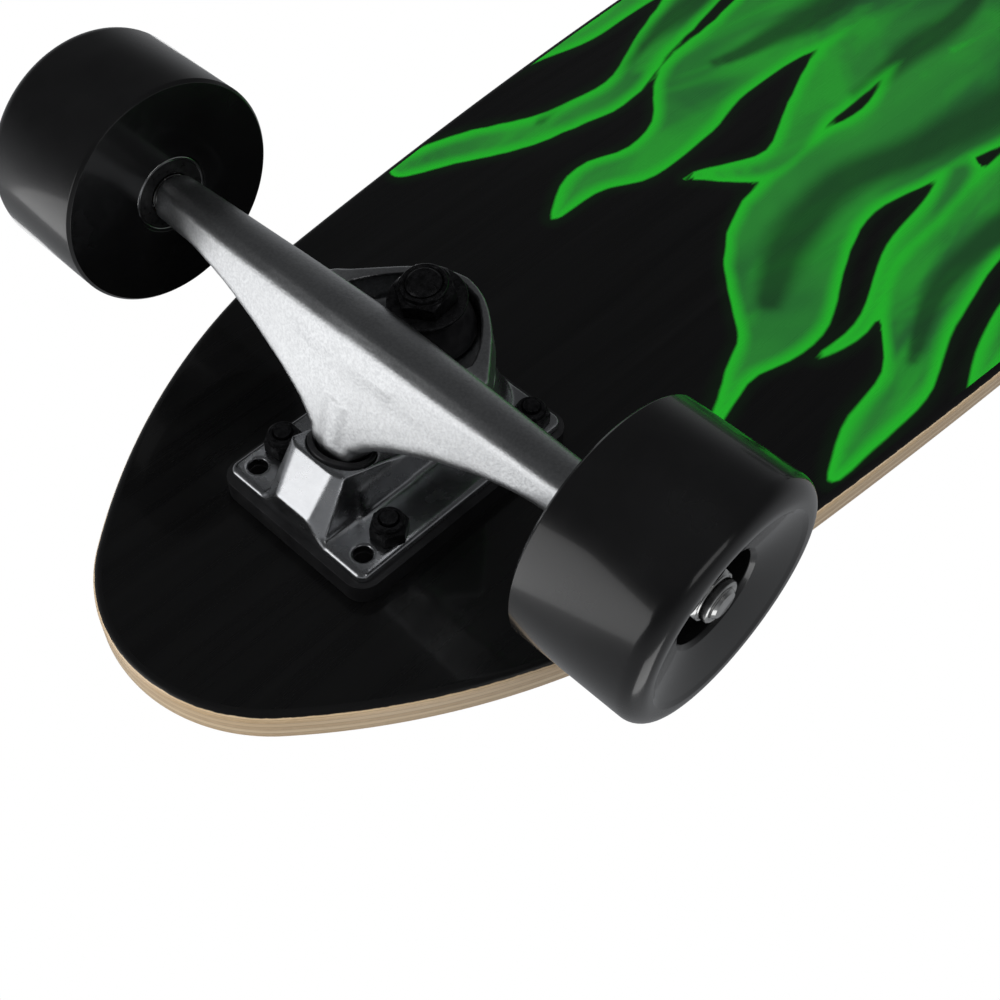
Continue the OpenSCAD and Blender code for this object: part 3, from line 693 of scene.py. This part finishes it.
def flame_fields(P):
    """Signed depth inside the flames (mm), dark streaks and the fade of the paint, at points P."""
    x, y = P[:, 0], P[:, 1]
    P = np.stack([x + 1.6 * np.sin(y / 12 + 1.0) + 0.8 * np.sin((x + y) / 8.3),
                  y + 1.6 * np.sin(x / 17 + 0.4) + 0.8 * np.sin(x / 9.1 + y / 12)], 1)
    tongues = [
        # Spine from root to tip (mm in the board's frame), and widths along it.
        (((60, -70), (-50, -84), (-110, -90), (-152, -80), (-184, -68), (-214, -70),
          (-246, -84), (-276, -92)),
         (60, 38, 22, 15, 13, 12, 14, 10)),
        (((60, -60), (-50, -48), (-120, -54), (-160, -52), (-190, -38), (-214, -37),
          (-236, -44), (-258, -40)),
         (60, 54, 40, 30, 20, 16, 13, 3)),
        (((40, -10), (-60, -12), (-112, -20), (-150, -14), (-176, -4), (-196, -9), (-212, -20)),
         (50, 44, 28, 18, 13, 9, 2)),
        (((-90, 2), (-136, 6), (-160, 12), (-182, 7)), (24, 15, 11, 4)),
        (((60, 30), (-40, 32), (-116, 22), (-170, 16), (-214, 24), (-240, 38),
          (-254, 44), (-272, 46), (-294, 56)),
         (60, 58, 46, 38, 38, 30, 19, 8, 2)),
        (((-140, 42), (-190, 52), (-222, 60), (-248, 58)), (14, 7, 5, 1.5)),
        (((60, 74), (-40, 72), (-110, 68), (-160, 62), (-204, 70), (-232, 82), (-256, 84), (-282, 92)),
         (60, 54, 42, 28, 25, 17, 12, 3)),
        (((40, 100), (-60, 100), (-126, 99), (-172, 94), (-204, 96), (-234, 103)), (44, 36, 24, 15, 9, 2)),
        (((20, -100), (-80, -104), (-140, -103), (-186, -100), (-222, -105)), (40, 24, 12, 8, 2)),
        # The body that the tongues leave, right across the board.
        (((250, 0), (120, 0), (20, 0)), (240, 240, 150)),
    ]
    depth = np.full(len(P), -1e3)
    soft = 1.6
    for spine, widths in tongues:
        for gap, width in stretches(P, spine, widths, 28):
            v = width * 0.5 - gap
            h = np.clip(0.5 + 0.5 * (v - depth) / soft, 0, 1)
            depth = depth * (1 - h) + v * h + soft * h * (1 - h) * (depth > -900)
    # Dark licks between the tongues, cut out of the joined body.
    licks = [
        (((-222, -76), (-180, -78), (-130, -86), (-60, -84), (0, -80)), (3, 6, 9, 14, 3)),
        (((-150, -56), (-100, -46), (-40, -50), (20, -44)), (4, 12, 14, 3)),
        (((-240, 34), (-205, 22), (-160, 20), (-100, 34), (-30, 30)), (7, 12, 13, 15, 3)),
        (((-224, 80), (-180, 68), (-120, 70), (-40, 76)), (4, 8, 12, 3)),
        (((-130, -8), (-80, -6), (-20, -14)), (5, 10, 3)),
    ]
    flow = np.zeros(len(P))
    for spine, widths in licks:
        for gap, width in stretches(P, spine, widths, 24):
            flow = np.maximum(flow, np.clip(1 - gap / np.maximum(width, 0.5), 0, 1))
    fade = np.clip((150 - P[:, 0]) / 190, 0, 1)
    fade = fade * fade * (3 - 2 * fade)
    return depth, flow, fade


def spline(P, W, n):
    """A Catmull-Rom curve through points P with values W."""
    D = np.c_[P, W]
    D = np.vstack([2 * D[0] - D[1], D, 2 * D[-1] - D[-2]])
    out = []
    per = max(2, n // (len(P) - 1))
    for i in range(1, len(D) - 2):
        p0, p1, p2, p3 = D[i - 1:i + 3]
        for t in np.arange(per) / per:
            out.append(0.5 * (2 * p1 + (p2 - p0) * t + (2 * p0 - 5 * p1 + 4 * p2 - p3) * t ** 2
                              + (3 * p1 - p0 - 3 * p2 + p3) * t ** 3))
    out.append(D[-2])
    out = np.array(out)
    return out[:, :-1], np.maximum(out[:, -1], 0.6)


def build_deck():
    bottom, top = deck_lo[2], deck_hi[2] - 0.1
    low_r, high_r = 2.6, 1.6
    half = upper_half()
    loop = full_loop()
    rows, cols = len(half), 161
    verts = []
    # Underside: rows across the board, at the outline's own stations.
    side = np.array([p - m * low_r for p, m in half])
    v = np.linspace(-1, 1, cols)
    for x, y in side:
        verts += [(x, y * t, bottom) for t in v]
    faces, mats = [], []
    for i in range(rows - 1):
        for j in range(cols - 1):
            a = i * cols + j
            faces.append((a, a + 1, a + cols + 1, a + cols))
            mats.append(1)
    # Edge: from the underside round to the top.
    profile = [(low_r * (1 - math.sin(t)), low_r * (1 - math.cos(t))) for t in np.linspace(0, math.pi / 2, 7)]
    profile = profile[1:] + [(0.0, (top - bottom) * s) for s in (0.45, 0.65)]
    profile += [(high_r * (1 - math.cos(t)), top - bottom - high_r * (1 - math.sin(t)))
                for t in np.linspace(0, math.pi / 2, 6)]
    n = len(loop)
    rim = []
    for k in range(n):
        if k < rows:
            rim.append(k * cols + cols - 1)
        else:
            rim.append((2 * (rows - 1) - k) * cols)
    previous = rim
    for ins, z in profile:
        start = len(verts)
        verts += [(*(p - m * ins), bottom + z) for p, m in loop]
        ring = list(range(start, start + n))
        for k in range(n):
            q = (k + 1) % n
            faces.append((previous[k], previous[q], ring[q], ring[k]))
            mats.append(0)
        previous = ring
    faces.append(tuple(previous))
    mats.append(0)
    mesh = bpy.data.meshes.new("deck_body")
    co = np.array(verts) * MM
    mesh.from_pydata(co.tolist(), [], faces)
    mesh.polygons.foreach_set("material_index", mats)
    depth, flow, fade = flame_fields(np.array(verts)[:, :2])
    for name, values in (("flame_in", depth), ("flame_flow", flow), ("flame_fade", fade)):
        mesh.attributes.new(name, "FLOAT", "POINT").data.foreach_set("value", values.astype(np.float32))
    bm = bmesh.new()
    bm.from_mesh(mesh)
    bmesh.ops.remove_doubles(bm, verts=bm.verts, dist=1e-7)
    smooth_shade(bm, 30)
    bm.to_mesh(mesh)
    bm.free()
    # The floor takes no green from the underside.
    link(mesh, "deck_body", "deck", "deck_wood", [M_WOOD, M_LACQUER], ["deck"]).visible_diffuse = False


def build_grip():
    low, high = deck_hi[2] - 0.08, grip_top
    hole_r, hole_n = 4.85, 40
    loop = full_loop()
    bm = bmesh.new()
    rings = []
    for ins, z in ((1.9, low), (1.5, low + 0.25), (1.7, high - 0.15), (2.1, high)):
        rings.append([bm.verts.new(Vector((*(p - m * ins), z)) * MM) for p, m in loop])
    n = len(loop)
    for a, b in zip(rings[:-1], rings[1:]):
        for k in range(n):
            bm.faces.new((a[k], a[(k + 1) % n], b[(k + 1) % n], b[k]))
    edges = [bm.edges.get((rings[-1][k], rings[-1][(k + 1) % n])) for k in range(n)]
    for sx in (-1, 1):
        for along in HOLE_ROWS:
            for y in (-HOLE_Y, HOLE_Y):
                x = sx * (ROW_X - along)
                upper, lower = [], []
                for k in range(hole_n):
                    t = 2 * math.pi * k / hole_n
                    spot = (x + hole_r * math.cos(t), y + hole_r * math.sin(t))
                    upper.append(bm.verts.new(Vector((*spot, high)) * MM))
                    lower.append(bm.verts.new(Vector((*spot, low)) * MM))
                for k in range(hole_n):
                    q = (k + 1) % hole_n
                    bm.faces.new((upper[k], upper[q], lower[q], lower[k]))
                    edges.append(bm.edges.get((upper[k], upper[q])))
    bmesh.ops.triangle_fill(bm, use_beauty=True, use_dissolve=False, edges=edges)
    bmesh.ops.recalc_face_normals(bm, faces=bm.faces)
    mesh = bpy.data.meshes.new("grip_sheet")
    bm.to_mesh(mesh)
    bm.free()
    link(mesh, "grip_sheet", "deck", "grip", M_GRIP, ["grip_tape"])


build_deck()
build_grip()

# -------- truck castings

def along_nose(X, Y, Z):
    """Height along the pivot nose from its ball, distance from that line, and from the ball's centre."""
    px, pz = X - NOSE[0], Z - NOSE[2]
    s = px * nose_dir[0] + pz * nose_dir[2]
    far = px ** 2 + Y ** 2 + pz ** 2
    return s, np.sqrt(np.maximum(far - s ** 2, 0)), np.sqrt(far)


def along_king(X, Y, Z):
    """Places in the kingpin's frame: across it, up along it, and the distance from its axis."""
    kx, kz = X - KING[0], Z - KING[2]
    c, s = math.cos(KING_LEAN), math.sin(KING_LEAN)
    u, q = kx * c + kz * s, -kx * s + kz * c
    return u, q, np.sqrt(u ** 2 + Y ** 2)


def hanger_field(X, Y, Z):
    """The hanger as one smooth casting: beam, web, nose and the ring round the bushings."""
    ax, az = AXLE[0], AXLE[2]
    dx, dz = X - ax, Z - az
    ay = np.abs(Y)
    share = np.clip(ay / HANGER_HALF, 0, 1)
    r = 9.3 - (9.3 - 6.8) * share ** 1.15
    radial = np.sqrt(dx ** 2 + dz ** 2)
    beam = radial - r

    def face(degrees, push):
        t = math.radians(degrees)
        return -math.sin(t) * dx + math.cos(t) * dz - push * r

    flat = 0.5 * (1 + np.cos(math.pi * np.clip(ay / (HANGER_HALF + 14), 0, 1)))
    beam = smax(beam, face(-18, 1.0) + r * 0.10 * flat, 2.4)
    beam = smax(beam, face(56, 1.0) + r * 0.08 * flat, 1.2)
    beam = np.maximum(beam, ay - HANGER_HALF)
    # Web: along the nose's axis h from the axle, thickness t across it.
    nx, nz = nose_dir[0], nose_dir[2]
    h = -(dx * nx + dz * nz)
    t = -dx * nz + dz * nx
    hs = np.array([-4, 0, 4, 8, 12.5, 18, 23, 28, 33, 40])
    ws = np.array([71, 66, 58, 46, 34, 22.5, 14.0, 8.4, 6.2, 5.4])
    w = np.interp(h, hs, ws)
    slope = np.interp(h, (hs[1:] + hs[:-1]) / 2, np.diff(ws) / np.diff(hs))
    thick = np.interp(h, [0, 10, 20, 28, 36], [8.4, 7.8, 7.0, 6.3, 5.8])
    side = (ay - w) / np.sqrt(1 + slope ** 2)
    web = smax(side, np.abs(t) - thick, 3.0)
    web = smax(web, h - 33.0, 2.0)
    web = smax(web, -h - 2.0, 2.0)
    body = smin(beam, web, 3.2)
    # One flat outboard face from the ridge to the nose.
    body = smax(body, t - (8.3 - 1.9 * share ** 1.5 - 0.075 * h), 1.2)
    # Nose: a neck that ends in the ball held by the pivot cup.
    s, across, far = along_nose(X, Y, Z)
    ball = far - BALL_R
    neck = np.maximum(across - (5.6 + 0.05 * s), np.maximum(-s, s - 20))
    body = smin(body, smin(ball, neck, 0.6), 2.2)
    # Yoke round the bushings, in the kingpin's frame.
    u, q, rr = along_king(X, Y, Z)

    def contour(stations, halves):
        half_w = np.interp(u, stations, halves)
        middles = (np.array(stations[1:]) + stations[:-1]) / 2
        slope_w = np.interp(u, middles, np.diff(halves) / np.diff(stations))
        return (ay - half_w) / np.sqrt(1 + np.minimum(slope_w ** 2, 6.0))

    outer = contour([-26, -14, -6, 0, 4, 7, 9.9, 12.2, 13.6, 14.3, 18],
                    [46, 34.5, 27.0, 21.8, 18.3, 15.2, 11.6, 7.9, 4.4, 0, -9])
    outer = np.maximum(smax(outer, rr - 30, 2.0), -u - 26)
    inner = contour([-18, -14, -10, -7, -4, -1, 1.5, 4.5, 8.4, 10.8, 12.3, 18],
                    [8, 17.0, 21.0, 21.4, 20.2, 18.4, 16.6, 14.0, 9.9, 6.4, 0, -9])
    top = 41.9 + np.interp(u, [-26, -12, -4, 4, 16], [7.0, 4.2, 1.6, 0.3, -0.4])
    low = 28.45 + np.interp(ay, [12, 20, 34, 44], [0, 2.0, 8.0, 12.0])
    yoke = smax(smax(outer, q - top, 1.3), low - q, 2.0)
    yoke = smax(yoke, -smax(inner, 33.4 - q, 1.5), 0.9)
    body = smin(body, yoke, 4.0)
    body = smax(body, -np.maximum(rr - 6.6, np.abs(q - 31) - 8), 0.6)
    body = smax(body, -np.maximum(rr - 11.1, 33.4 - q), 0.8)
    return np.maximum(body, ay - HANGER_HALF)


def baseplate_field(X, Y, Z):
    """The baseplate as one casting: flange, pivot tower, ridge and kingpin boss."""
    ay = np.abs(Y)
    z = Z - FLANGE
    x0, x1 = -6.0, 71.0
    # Flange with a bevelled rim.
    cx, half_l, half_w, r = (x0 + x1) / 2, (x1 - x0) / 2, 26.6, 3.0
    qx, qy = np.abs(X - cx) - (half_l - r), ay - (half_w - r)
    plan = np.sqrt(np.maximum(qx, 0) ** 2 + np.maximum(qy, 0) ** 2) + np.minimum(np.maximum(qx, qy), 0) - r
    flange = smax(plan, z, 0.7)
    flange = smax(flange, (plan + z) * 0.7071 + 0.75, 0.35)
    flange = np.maximum(flange, -z - PLATE_T)
    # Pivot tower between its faces.
    mx, mz = MOUTH[0], MOUTH[2] - FLANGE
    nx, nz = nose_dir[0], nose_dir[2]
    top = (X - mx) * nx + (z - mz) * nz + 0.35

    def plane(p, n):
        n = np.array(n, float)
        n /= np.linalg.norm(n)
        return (X - p[0]) * n[0] + (ay - p[1]) * n[1] + (z - p[2]) * n[2]

    front_low = plane((-6.0, 0, 0), (-6.0, 0, 0.4))
    front_high = plane((-5.7, 0, 5.2), (-11.3, 0, 7.7))
    flank = plane((0, 11.2, 0), (0, 16, 1.2))
    a, b, c = np.array([2.0, 7.0, 16.5]), np.array([4.3, 9.8, 17.0]), np.array([-5.6, 10.8, 0.0])
    normal = np.cross(b - a, c - a)
    if normal[0] > 0:
        normal = -normal
    corner = plane(a, normal)
    tower = smax(smax(front_low, front_high, 0.5), flank, 0.8)
    tower = smax(tower, corner, 0.7)
    tower = smax(tower, top, 0.7)
    tower = smax(tower, X - 26.0, 3.0)
    ridge = smax(smax(ay - 10.6 - 0.12 * (10 - z), z - 9.7, 2.5), np.maximum(X - KING[0], 8.0 - X), 1.5)
    tower = smin(tower, ridge, 2.0)
    # Kingpin boss.
    _, q, rr = along_king(X, Y, Z)
    boss = smax(rr - (17.0 - 0.24 * q), q - 13.0, 1.0)
    upper = smin(tower, boss, 2.5)
    upper = np.maximum(upper, -z - PLATE_T)
    body = smin(flange, upper, 2.0)
    body = smax(body, plan + 0.02, 0.4)
    # Bores: cup, kingpin and the mounting holes, with rounded mouths.
    s, across, _ = along_nose(X, Y, Z)
    body = smax(body, -np.maximum(across - 9.25, 4.5 - 12.0 - s), 0.6)
    body = smax(body, -np.maximum(rr - BORE_R, -q - 12), 0.5)
    head = np.maximum(rr - 8.6, q + PLATE_T / math.cos(KING_LEAN) - 7.2)
    body = np.maximum(body, -head)
    for hx in (0.0, *HOLE_ROWS):
        hole = np.sqrt((X - hx) ** 2 + (ay - HOLE_Y) ** 2) - 2.7
        body = smax(body, -hole, 0.5)
    return np.maximum(body, -z - PLATE_T)


STEP = 0.5


def build_castings():
    low, high = (-4.0, -HANGER_HALF - 1.5, 8.0), (72.0, HANGER_HALF + 1.5, 70.0)
    X, Y, Z = grid(low, high, STEP)
    hanger = hanger_field(X, Y, Z)
    low2, high2 = (-7.5, -28.5, FLANGE - PLATE_T - 1.2), (72.5, 28.5, 34.0)
    step2 = STEP * 0.8
    X, Y, Z = grid(low2, high2, step2)
    plate = baseplate_field(X, Y, Z)
    for end in ENDS:
        m = truck_matrix(end)
        mesh = net_mesh(end + "_hanger_casting", hanger, low, STEP, m)
        link(mesh, end + "_hanger_casting", end + "_truck", "cast_aluminium", M_CAST, [end + "_hanger"])
        mesh = net_mesh(end + "_baseplate_casting", plate, low2, step2, m)
        link(mesh, end + "_baseplate_casting", "deck", "cast_aluminium", M_DIE, [end + "_baseplate"])


build_castings()

# -------- truck hardware

def bevelled(node, width, material, body, slot_name, segments=3, angle=28):
    """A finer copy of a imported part, with its edges rounded."""
    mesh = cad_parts[node].data.copy()
    bm = bmesh.new()
    bm.from_mesh(mesh)
    bmesh.ops.remove_doubles(bm, verts=bm.verts, dist=2e-6)
    bmesh.ops.dissolve_limit(bm, angle_limit=math.radians(0.6), verts=bm.verts, edges=bm.edges)
    smooth_shade(bm, angle)
    for f in bm.faces:
        f.material_index = 0
    clean = bpy.data.meshes.new(node + "_fine")
    bm.to_mesh(clean)
    bm.free()
    obj = link(clean, node + "_fine", body, slot_name, material, [node])
    mod = obj.modifiers.new("edges", "BEVEL")
    mod.width = width * MM
    mod.segments = segments
    mod.limit_method = "ANGLE"
    mod.angle_limit = math.radians(angle)
    mod.harden_normals = True
    return obj


def piece(name, shape, matrix, body, slot_name, material, nodes=(), sharp=32):
    return link(finish_mesh(name, *shape, matrix, sharp), name, body, slot_name, material, nodes)


def turned(name, profile, *rest):
    return piece(name, lathe(profile, 96), *rest)


def place(name, rings, *rest):
    return piece(name, ringed(rings), *rest, sharp=24)


def join_parts(name, parts, body, slot_name, material, nodes, sharp=28):
    verts, faces = [], []
    for (v, f), matrix in parts:
        faces += [tuple(int(i) + len(verts) for i in face) for face in f]
        verts += moved(v, matrix).tolist()
    return piece(name, (verts, faces), None, body, slot_name, material, nodes, sharp)


def thread_profile(r, z0, z1, pitch=1.0, depth=0.32):
    """Points along a threaded shank, from z0 up to z1."""
    pts = []
    z = z0
    while z < z1 - pitch:
        pts += [(r, z + 0.12 * pitch), (r - depth, z + 0.5 * pitch), (r, z + 0.88 * pitch)]
        z += pitch
    return pts


for end in ENDS:
    km, nm = king_matrix(end), nose_matrix(end)
    body = end + "_truck"
    # Kingpin: hexagon head under the plate, plain shank, threaded end.
    one = np.ones(96)
    R = hex_radius(KINGPIN_HEX, 96)
    h0 = -PLATE_T / math.cos(KING_LEAN) + KINGPIN_HEX / 2 / math.cos(math.radians(30)) * math.tan(KING_LEAN)
    cone = np.maximum(0, R - 7.05) * 0.577
    rings = [(1e-6 * one, h0 * one), (7.05 * one, h0 * one), (R, h0 + cone), (R, (h0 + 5.9) * one),
             (R - 0.15, (h0 + 6.0) * one), (KINGPIN_R * one, (h0 + 6.0) * one), (KINGPIN_R * one, 46.0 * one)]
    rings += [(r * one, z * one) for r, z in thread_profile(KINGPIN_R, 46.0, 53.0, 1.06)]
    rings += [(KINGPIN_R * one, 53.1 * one), (3.95 * one, 53.9 * one), (3.75 * one, 54.0 * one),
              (1e-6 * one, 54.0 * one)]
    place(end + "_kingpin_bolt", rings, km, "deck", "black_steel", M_BLACK, [end + "_kingpin"])
    rings = nut_rings(KINGPIN_HEX, 4.6, 1.6, 4.85, z0=47.0)
    place(end + "_kingpin_lock_nut", rings, km, "deck", "black_steel", M_BLACK, [end + "_kingpin_nut"])
    # Cup washers with a rolled lip.
    for name, r, s, flip in (("board", 12.5, 13.0, -1), ("road", 10.5, 45.6, 1)):
        t = 1.4
        prof = rounded([(BORE_R, s), (r, s), (r, s + t), (BORE_R, s + t)], [0.2, 0.55, 0.55, 0.2], 4)
        nodes = [end + "_cup_washers"] if name == "board" else []
        turned(f"{end}_{name}_washer", prof, km, "deck", "black_steel", M_BLACK, nodes)
    # Bushings, slightly barrelled by their load.
    board_ends = [(km @ Vector((0, 0, s))) * MM for s in (15.6, 27.4)]
    road_ends = [(km @ Vector((0, 0, s))) * MM for s in (44.8, 34.4)]
    prof = rounded([(BORE_R, 14.45), (10.9, 14.45), (11.75, 21.4), (10.9, 28.35), (BORE_R, 28.35)],
                   [0.4, 1.6, 6.0, 1.6, 0.4], 6)
    turned(end + "_board_bushing_barrel", prof, km, ("deck", end + "_truck", *board_ends), "cup_urethane",
           M_BUSHING, [end + "_board_bushing"])
    prof = rounded([(BORE_R, 33.45), (11.6, 33.45), (11.5, 36.0), (9.55, 45.5), (BORE_R, 45.5)],
                   [0.4, 0.8, 2.0, 1.2, 0.4], 6)
    turned(end + "_road_bushing_cone", prof, km, ("deck", end + "_truck", *road_ends), "cup_urethane",
           M_BUSHING, [end + "_road_bushing"])
    # Pivot cup with a raised, rounded lip.
    prof = rounded([(1e-4, -7.4), (9.15, -7.4), (9.2, 4.9), (8.2, 5.35), (7.3, 4.7), (6.1, 1.0),
                    (5.2, -3.2), (1e-4, -6.3)], [0, 1.4, 0.5, 0.4, 0.5, 1.0, 1.5, 0], 5)
    turned(end + "_pivot_cup_lipped", prof, nm, "deck", "cup_urethane", M_BUSHING, [end + "_pivot_cup"])
    bevelled(end + "_riser", 0.7, M_RUBBER, "deck", "riser_rubber", 3, 40)
    # Axle with threaded, chamfered ends.
    half = AXLE_END
    thread = thread_profile(AXLE_R, half - 10.0, half - 0.9)
    upper = [(AXLE_R, half - 10.2)] + thread + [(AXLE_R, half - 0.9), (AXLE_R, half - 0.7),
                                                (3.35, half - 0.05), (3.2, half), (1e-7, half)]
    prof = [(r, -z) for r, z in reversed(upper)] + upper
    ex = -AXLE_X if end == "rear" else AXLE_X
    m = Matrix(((1, 0, 0, ex), (0, 0, 1, 0), (0, -1, 0, AXLE_Z), (0, 0, 0, 1)))
    piece(end + "_axle_rod", lathe(prof, 64), m, body, "plated_steel", M_PLATED, [end + "_axle"], 24)
    nuts, washers = [], []
    for side in SIDES:
        wm = wheel_matrix(end, side)
        nuts.append((ringed(nut_rings(12.7, 5.6, 2.2, 4.06, z0=26.0)), wm))
        for u in (0.0, 25.0):
            prof = rounded([(4.1, u), (5.8, u), (5.8, u + 1.0), (4.1, u + 1.0)], 0.25, 3)
            washers.append((lathe(prof, 64), wm))
    join_parts(end + "_axle_lock_nuts", nuts, body, "plated_steel", M_PLATED, [end + "_axle_nuts"], 24)
    join_parts(end + "_axle_washers", washers, body, "plated_steel", M_PLATED, [end + "_speed_washers"])

# Mounting hardware.
bevelled("mounting_screws", 0.18, M_BLACK, "deck", "black_steel", 2, 28)
nuts = []
for end in ENDS:
    for along in HOLE_ROWS:
        for y in (-HOLE_Y, HOLE_Y):
            turn = Matrix.Rotation(math.radians(11 if along > 20 else 34), 4, "Z")
            m = truck_matrix(end) @ Matrix.Translation((along, y, 0)) @ turn
            nuts.append((ringed(nut_rings(9.525, 4.3, 1.7, 2.45, z0=FLANGE, n=72)), m))
join_parts("mounting_lock_nuts", nuts, "deck", "black_steel", M_BLACK, ["mounting_nuts"], 24)

# -------- wheels and bearings

def wheel_profile():
    R = WHEEL_R
    inner, outer = 0.8, 36.8
    lip_r, chamfer = 5.0, 0.8
    pts = [(11.0, inner), (R - chamfer, inner), (R, inner + chamfer)]
    rad = [0.3, 0.3, 0.5]
    lip = [(R - lip_r + lip_r * math.cos(t), outer - lip_r + lip_r * math.sin(t))
           for t in np.linspace(0, math.pi / 2, 12)]
    pts += lip
    rad += [0] * len(lip)
    pts += [(26.2, outer - 0.1), (24.8, outer - 0.7), (13.6, outer - 4.2), (12.6, outer - 5.2), (12.6, 25.0),
            (11.0, 25.0), (11.0, 18.0), (9.1, 18.0), (9.1, 8.0), (11.0, 8.0)]
    rad += [0.6, 1.5, 0.5, 0.5, 0.2, 0.2, 0.1, 0.1, 0.1, 0.1]
    return rounded(pts, rad, 5)


WHEEL = lathe(wheel_profile(), 192)
for end in ENDS:
    for side in SIDES:
        tag = f"{end}_{side}"
        wm = wheel_matrix(end, side)
        spin = tag + "_wheel"
        piece(tag + "_tyre", WHEEL, wm, spin, "wheel_urethane", M_URETHANE, [tag + "_wheel"], 26)
        rings, shields = [], []
        for u in (1.0, 18.0):
            prof = rounded([(10.1, u), (11.0, u), (11.0, u + 7), (10.1, u + 7), (10.1, u + 6.4),
                            (9.1, u + 6.4), (9.1, u + 0.6), (10.1, u + 0.6)],
                           [0.2, 0.3, 0.3, 0.2, 0.05, 0.05, 0.05, 0.05], 4)
            rings.append((lathe(prof, 96), wm))
            for v, out in ((u + 0.15, -1), (u + 6.5, 1)):
                f = [(6.25, v), (6.25, v + 0.35), (7.0, v + 0.35), (9.3, v + 0.35), (10.05, v + 0.35),
                     (10.05, v), (9.35, v), (7.05, v)]
                dent = -0.12 * out
                f = [(r, z + (dent if 6.6 < r < 9.4 else 0)) for r, z in f]
                shields.append((lathe(rounded(f, 0.06, 2), 96), wm))
        join_parts(tag + "_outer_rings", rings, spin, "bearing_steel", M_RING, [tag + "_bearing_outer_rings"])
        join_parts(tag + "_shields", shields, spin, "seal", M_SEAL, [tag + "_bearing_shields"])

# Parts that stay as packed, with their own materials.
def repaint(node, material):
    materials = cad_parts[node].data.materials
    materials.clear()
    materials.append(material)


for end in ENDS:
    repaint(end + "_bearing_inner_rings", M_RING)
    repaint(end + "_bearing_spacers", M_PLATED)
    for side in SIDES:
        repaint(f"{end}_{side}_balls", M_RING)
        repaint(f"{end}_{side}_ball_cages", M_NYLON)

# -------- stage, lights and camera

floor = bpy.data.meshes.new("studio_floor")
reach = 30
floor.from_pydata([(-reach, -reach, 0), (reach, -reach, 0), (reach, reach, 0), (-reach, reach, 0)], [],
                  [(0, 1, 2, 3)])
floor = added("studio_floor", floor)
floor.data.materials.append(floor_paint())
floor.visible_shadow = False
floor.visible_glossy = False
floor.visible_diffuse = False

world = bpy.data.worlds.new("studio")
bpy.context.scene.world = world
world.use_nodes = True
tree = world.node_tree
tree.nodes.clear()
wire = tree.links.new


def node(kind):
    return tree.nodes.new("ShaderNode" + kind)


out = node("OutputWorld")
pick = node("MixShader")
seen = node("Background")
seen.inputs[0].default_value = (1, 1, 1, 1)
seen.inputs[1].default_value = 1.0
fill = node("Background")
where = node("TexCoord")
split = node("SeparateXYZ")
level = node("MapRange")
level.interpolation_type = "SMOOTHSTEP"
# The light comes mostly from above: from this height to that, and from this strength to that.
for i, v in enumerate((-0.45, 0.35, 0.045, 0.26)):
    level.inputs[i + 1].default_value = v
wire(where.outputs["Generated"], split.inputs[0])
wire(split.outputs[2], level.inputs[0])
wire(level.outputs[0], fill.inputs[1])
fill.inputs[0].default_value = (0.95, 0.97, 1.0, 1)
path = node("LightPath")
wire(path.outputs["Is Camera Ray"], pick.inputs[0])
wire(fill.outputs[0], pick.inputs[1])
wire(seen.outputs[0], pick.inputs[2])
wire(pick.outputs[0], out.inputs[0])


def area(name, location, target, size_x, size_y, radiance, mirrored=True):
    """A soft panel of the given brightness; an unmirrored one lights surfaces without showing in them."""
    data = bpy.data.lights.new(name, "AREA")
    data.shape = "RECTANGLE"
    data.size, data.size_y = size_x, size_y
    data.energy = radiance * math.pi * size_x * size_y
    obj = added(name, data)
    obj.location = location
    obj.rotation_euler = (Vector(target) - Vector(location)).to_track_quat("-Z", "Y").to_euler()
    obj.visible_camera = False
    obj.visible_glossy = mirrored
    return obj


truck_spot = (-0.37, 0.0, 0.04)
key = area("outboard_panel", (-2.05, -0.86, 0.30), truck_spot, 1.0, 2.6, 1.08)
back_axis = (key.location - Vector(truck_spot)).normalized()
long_axis = Vector((0.337, -0.40, 0.851))
long_axis = (long_axis - back_axis * long_axis.dot(back_axis)).normalized()
side_axis = long_axis.cross(back_axis)
key.rotation_euler = Matrix((side_axis, long_axis, back_axis)).transposed().to_euler()
area("left_low_panel", (-0.45, 1.40, -0.75), truck_spot, 0.9, 0.4, 0.8)
area("underside_fill", (-0.35, 0.30, -1.70), (-0.1, 0, 0.05), 1.8, 1.8, 2.9, mirrored=False)
area("top_fill", (-0.1, -0.2, 2.2), (0, 0, 0), 2.4, 2.4, 1.7, mirrored=False)
area("tail_fill", (-1.9, -0.9, -0.1), (0, 0, 0.05), 1.6, 1.6, 1.6, mirrored=False)
area("top_left_panel", (-0.9, 1.3, 1.1), (0, 0, 0.05), 0.9, 0.9, 1.3)
area("top_right_panel", (0.3, -1.6, 1.2), (0, 0, 0.05), 1.2, 0.7, 1.2)

camera = bpy.data.cameras.new("camera")
camera.sensor_fit = "HORIZONTAL"
camera.sensor_width = 36
camera.lens = 50.1
camera.clip_start = 0.01
camera.dof.use_dof = False
camera = added("camera", camera)
bpy.context.scene.camera = camera
right = Vector((0.68796828, 0.72518337, -0.02843802))
up = Vector((0.56174833, -0.55691177, -0.61179089))
back = Vector((-0.45949805, 0.40491772, -0.79050818))
spot = Vector((-0.529605, 0.1836, -0.21481))
camera.matrix_world = Matrix((
    (right.x, up.x, back.x, spot.x), (right.y, up.y, back.y, spot.y),
    (right.z, up.z, back.z, spot.z), (0, 0, 0, 1)))

bpy.context.scene.view_settings.view_transform = "Standard"
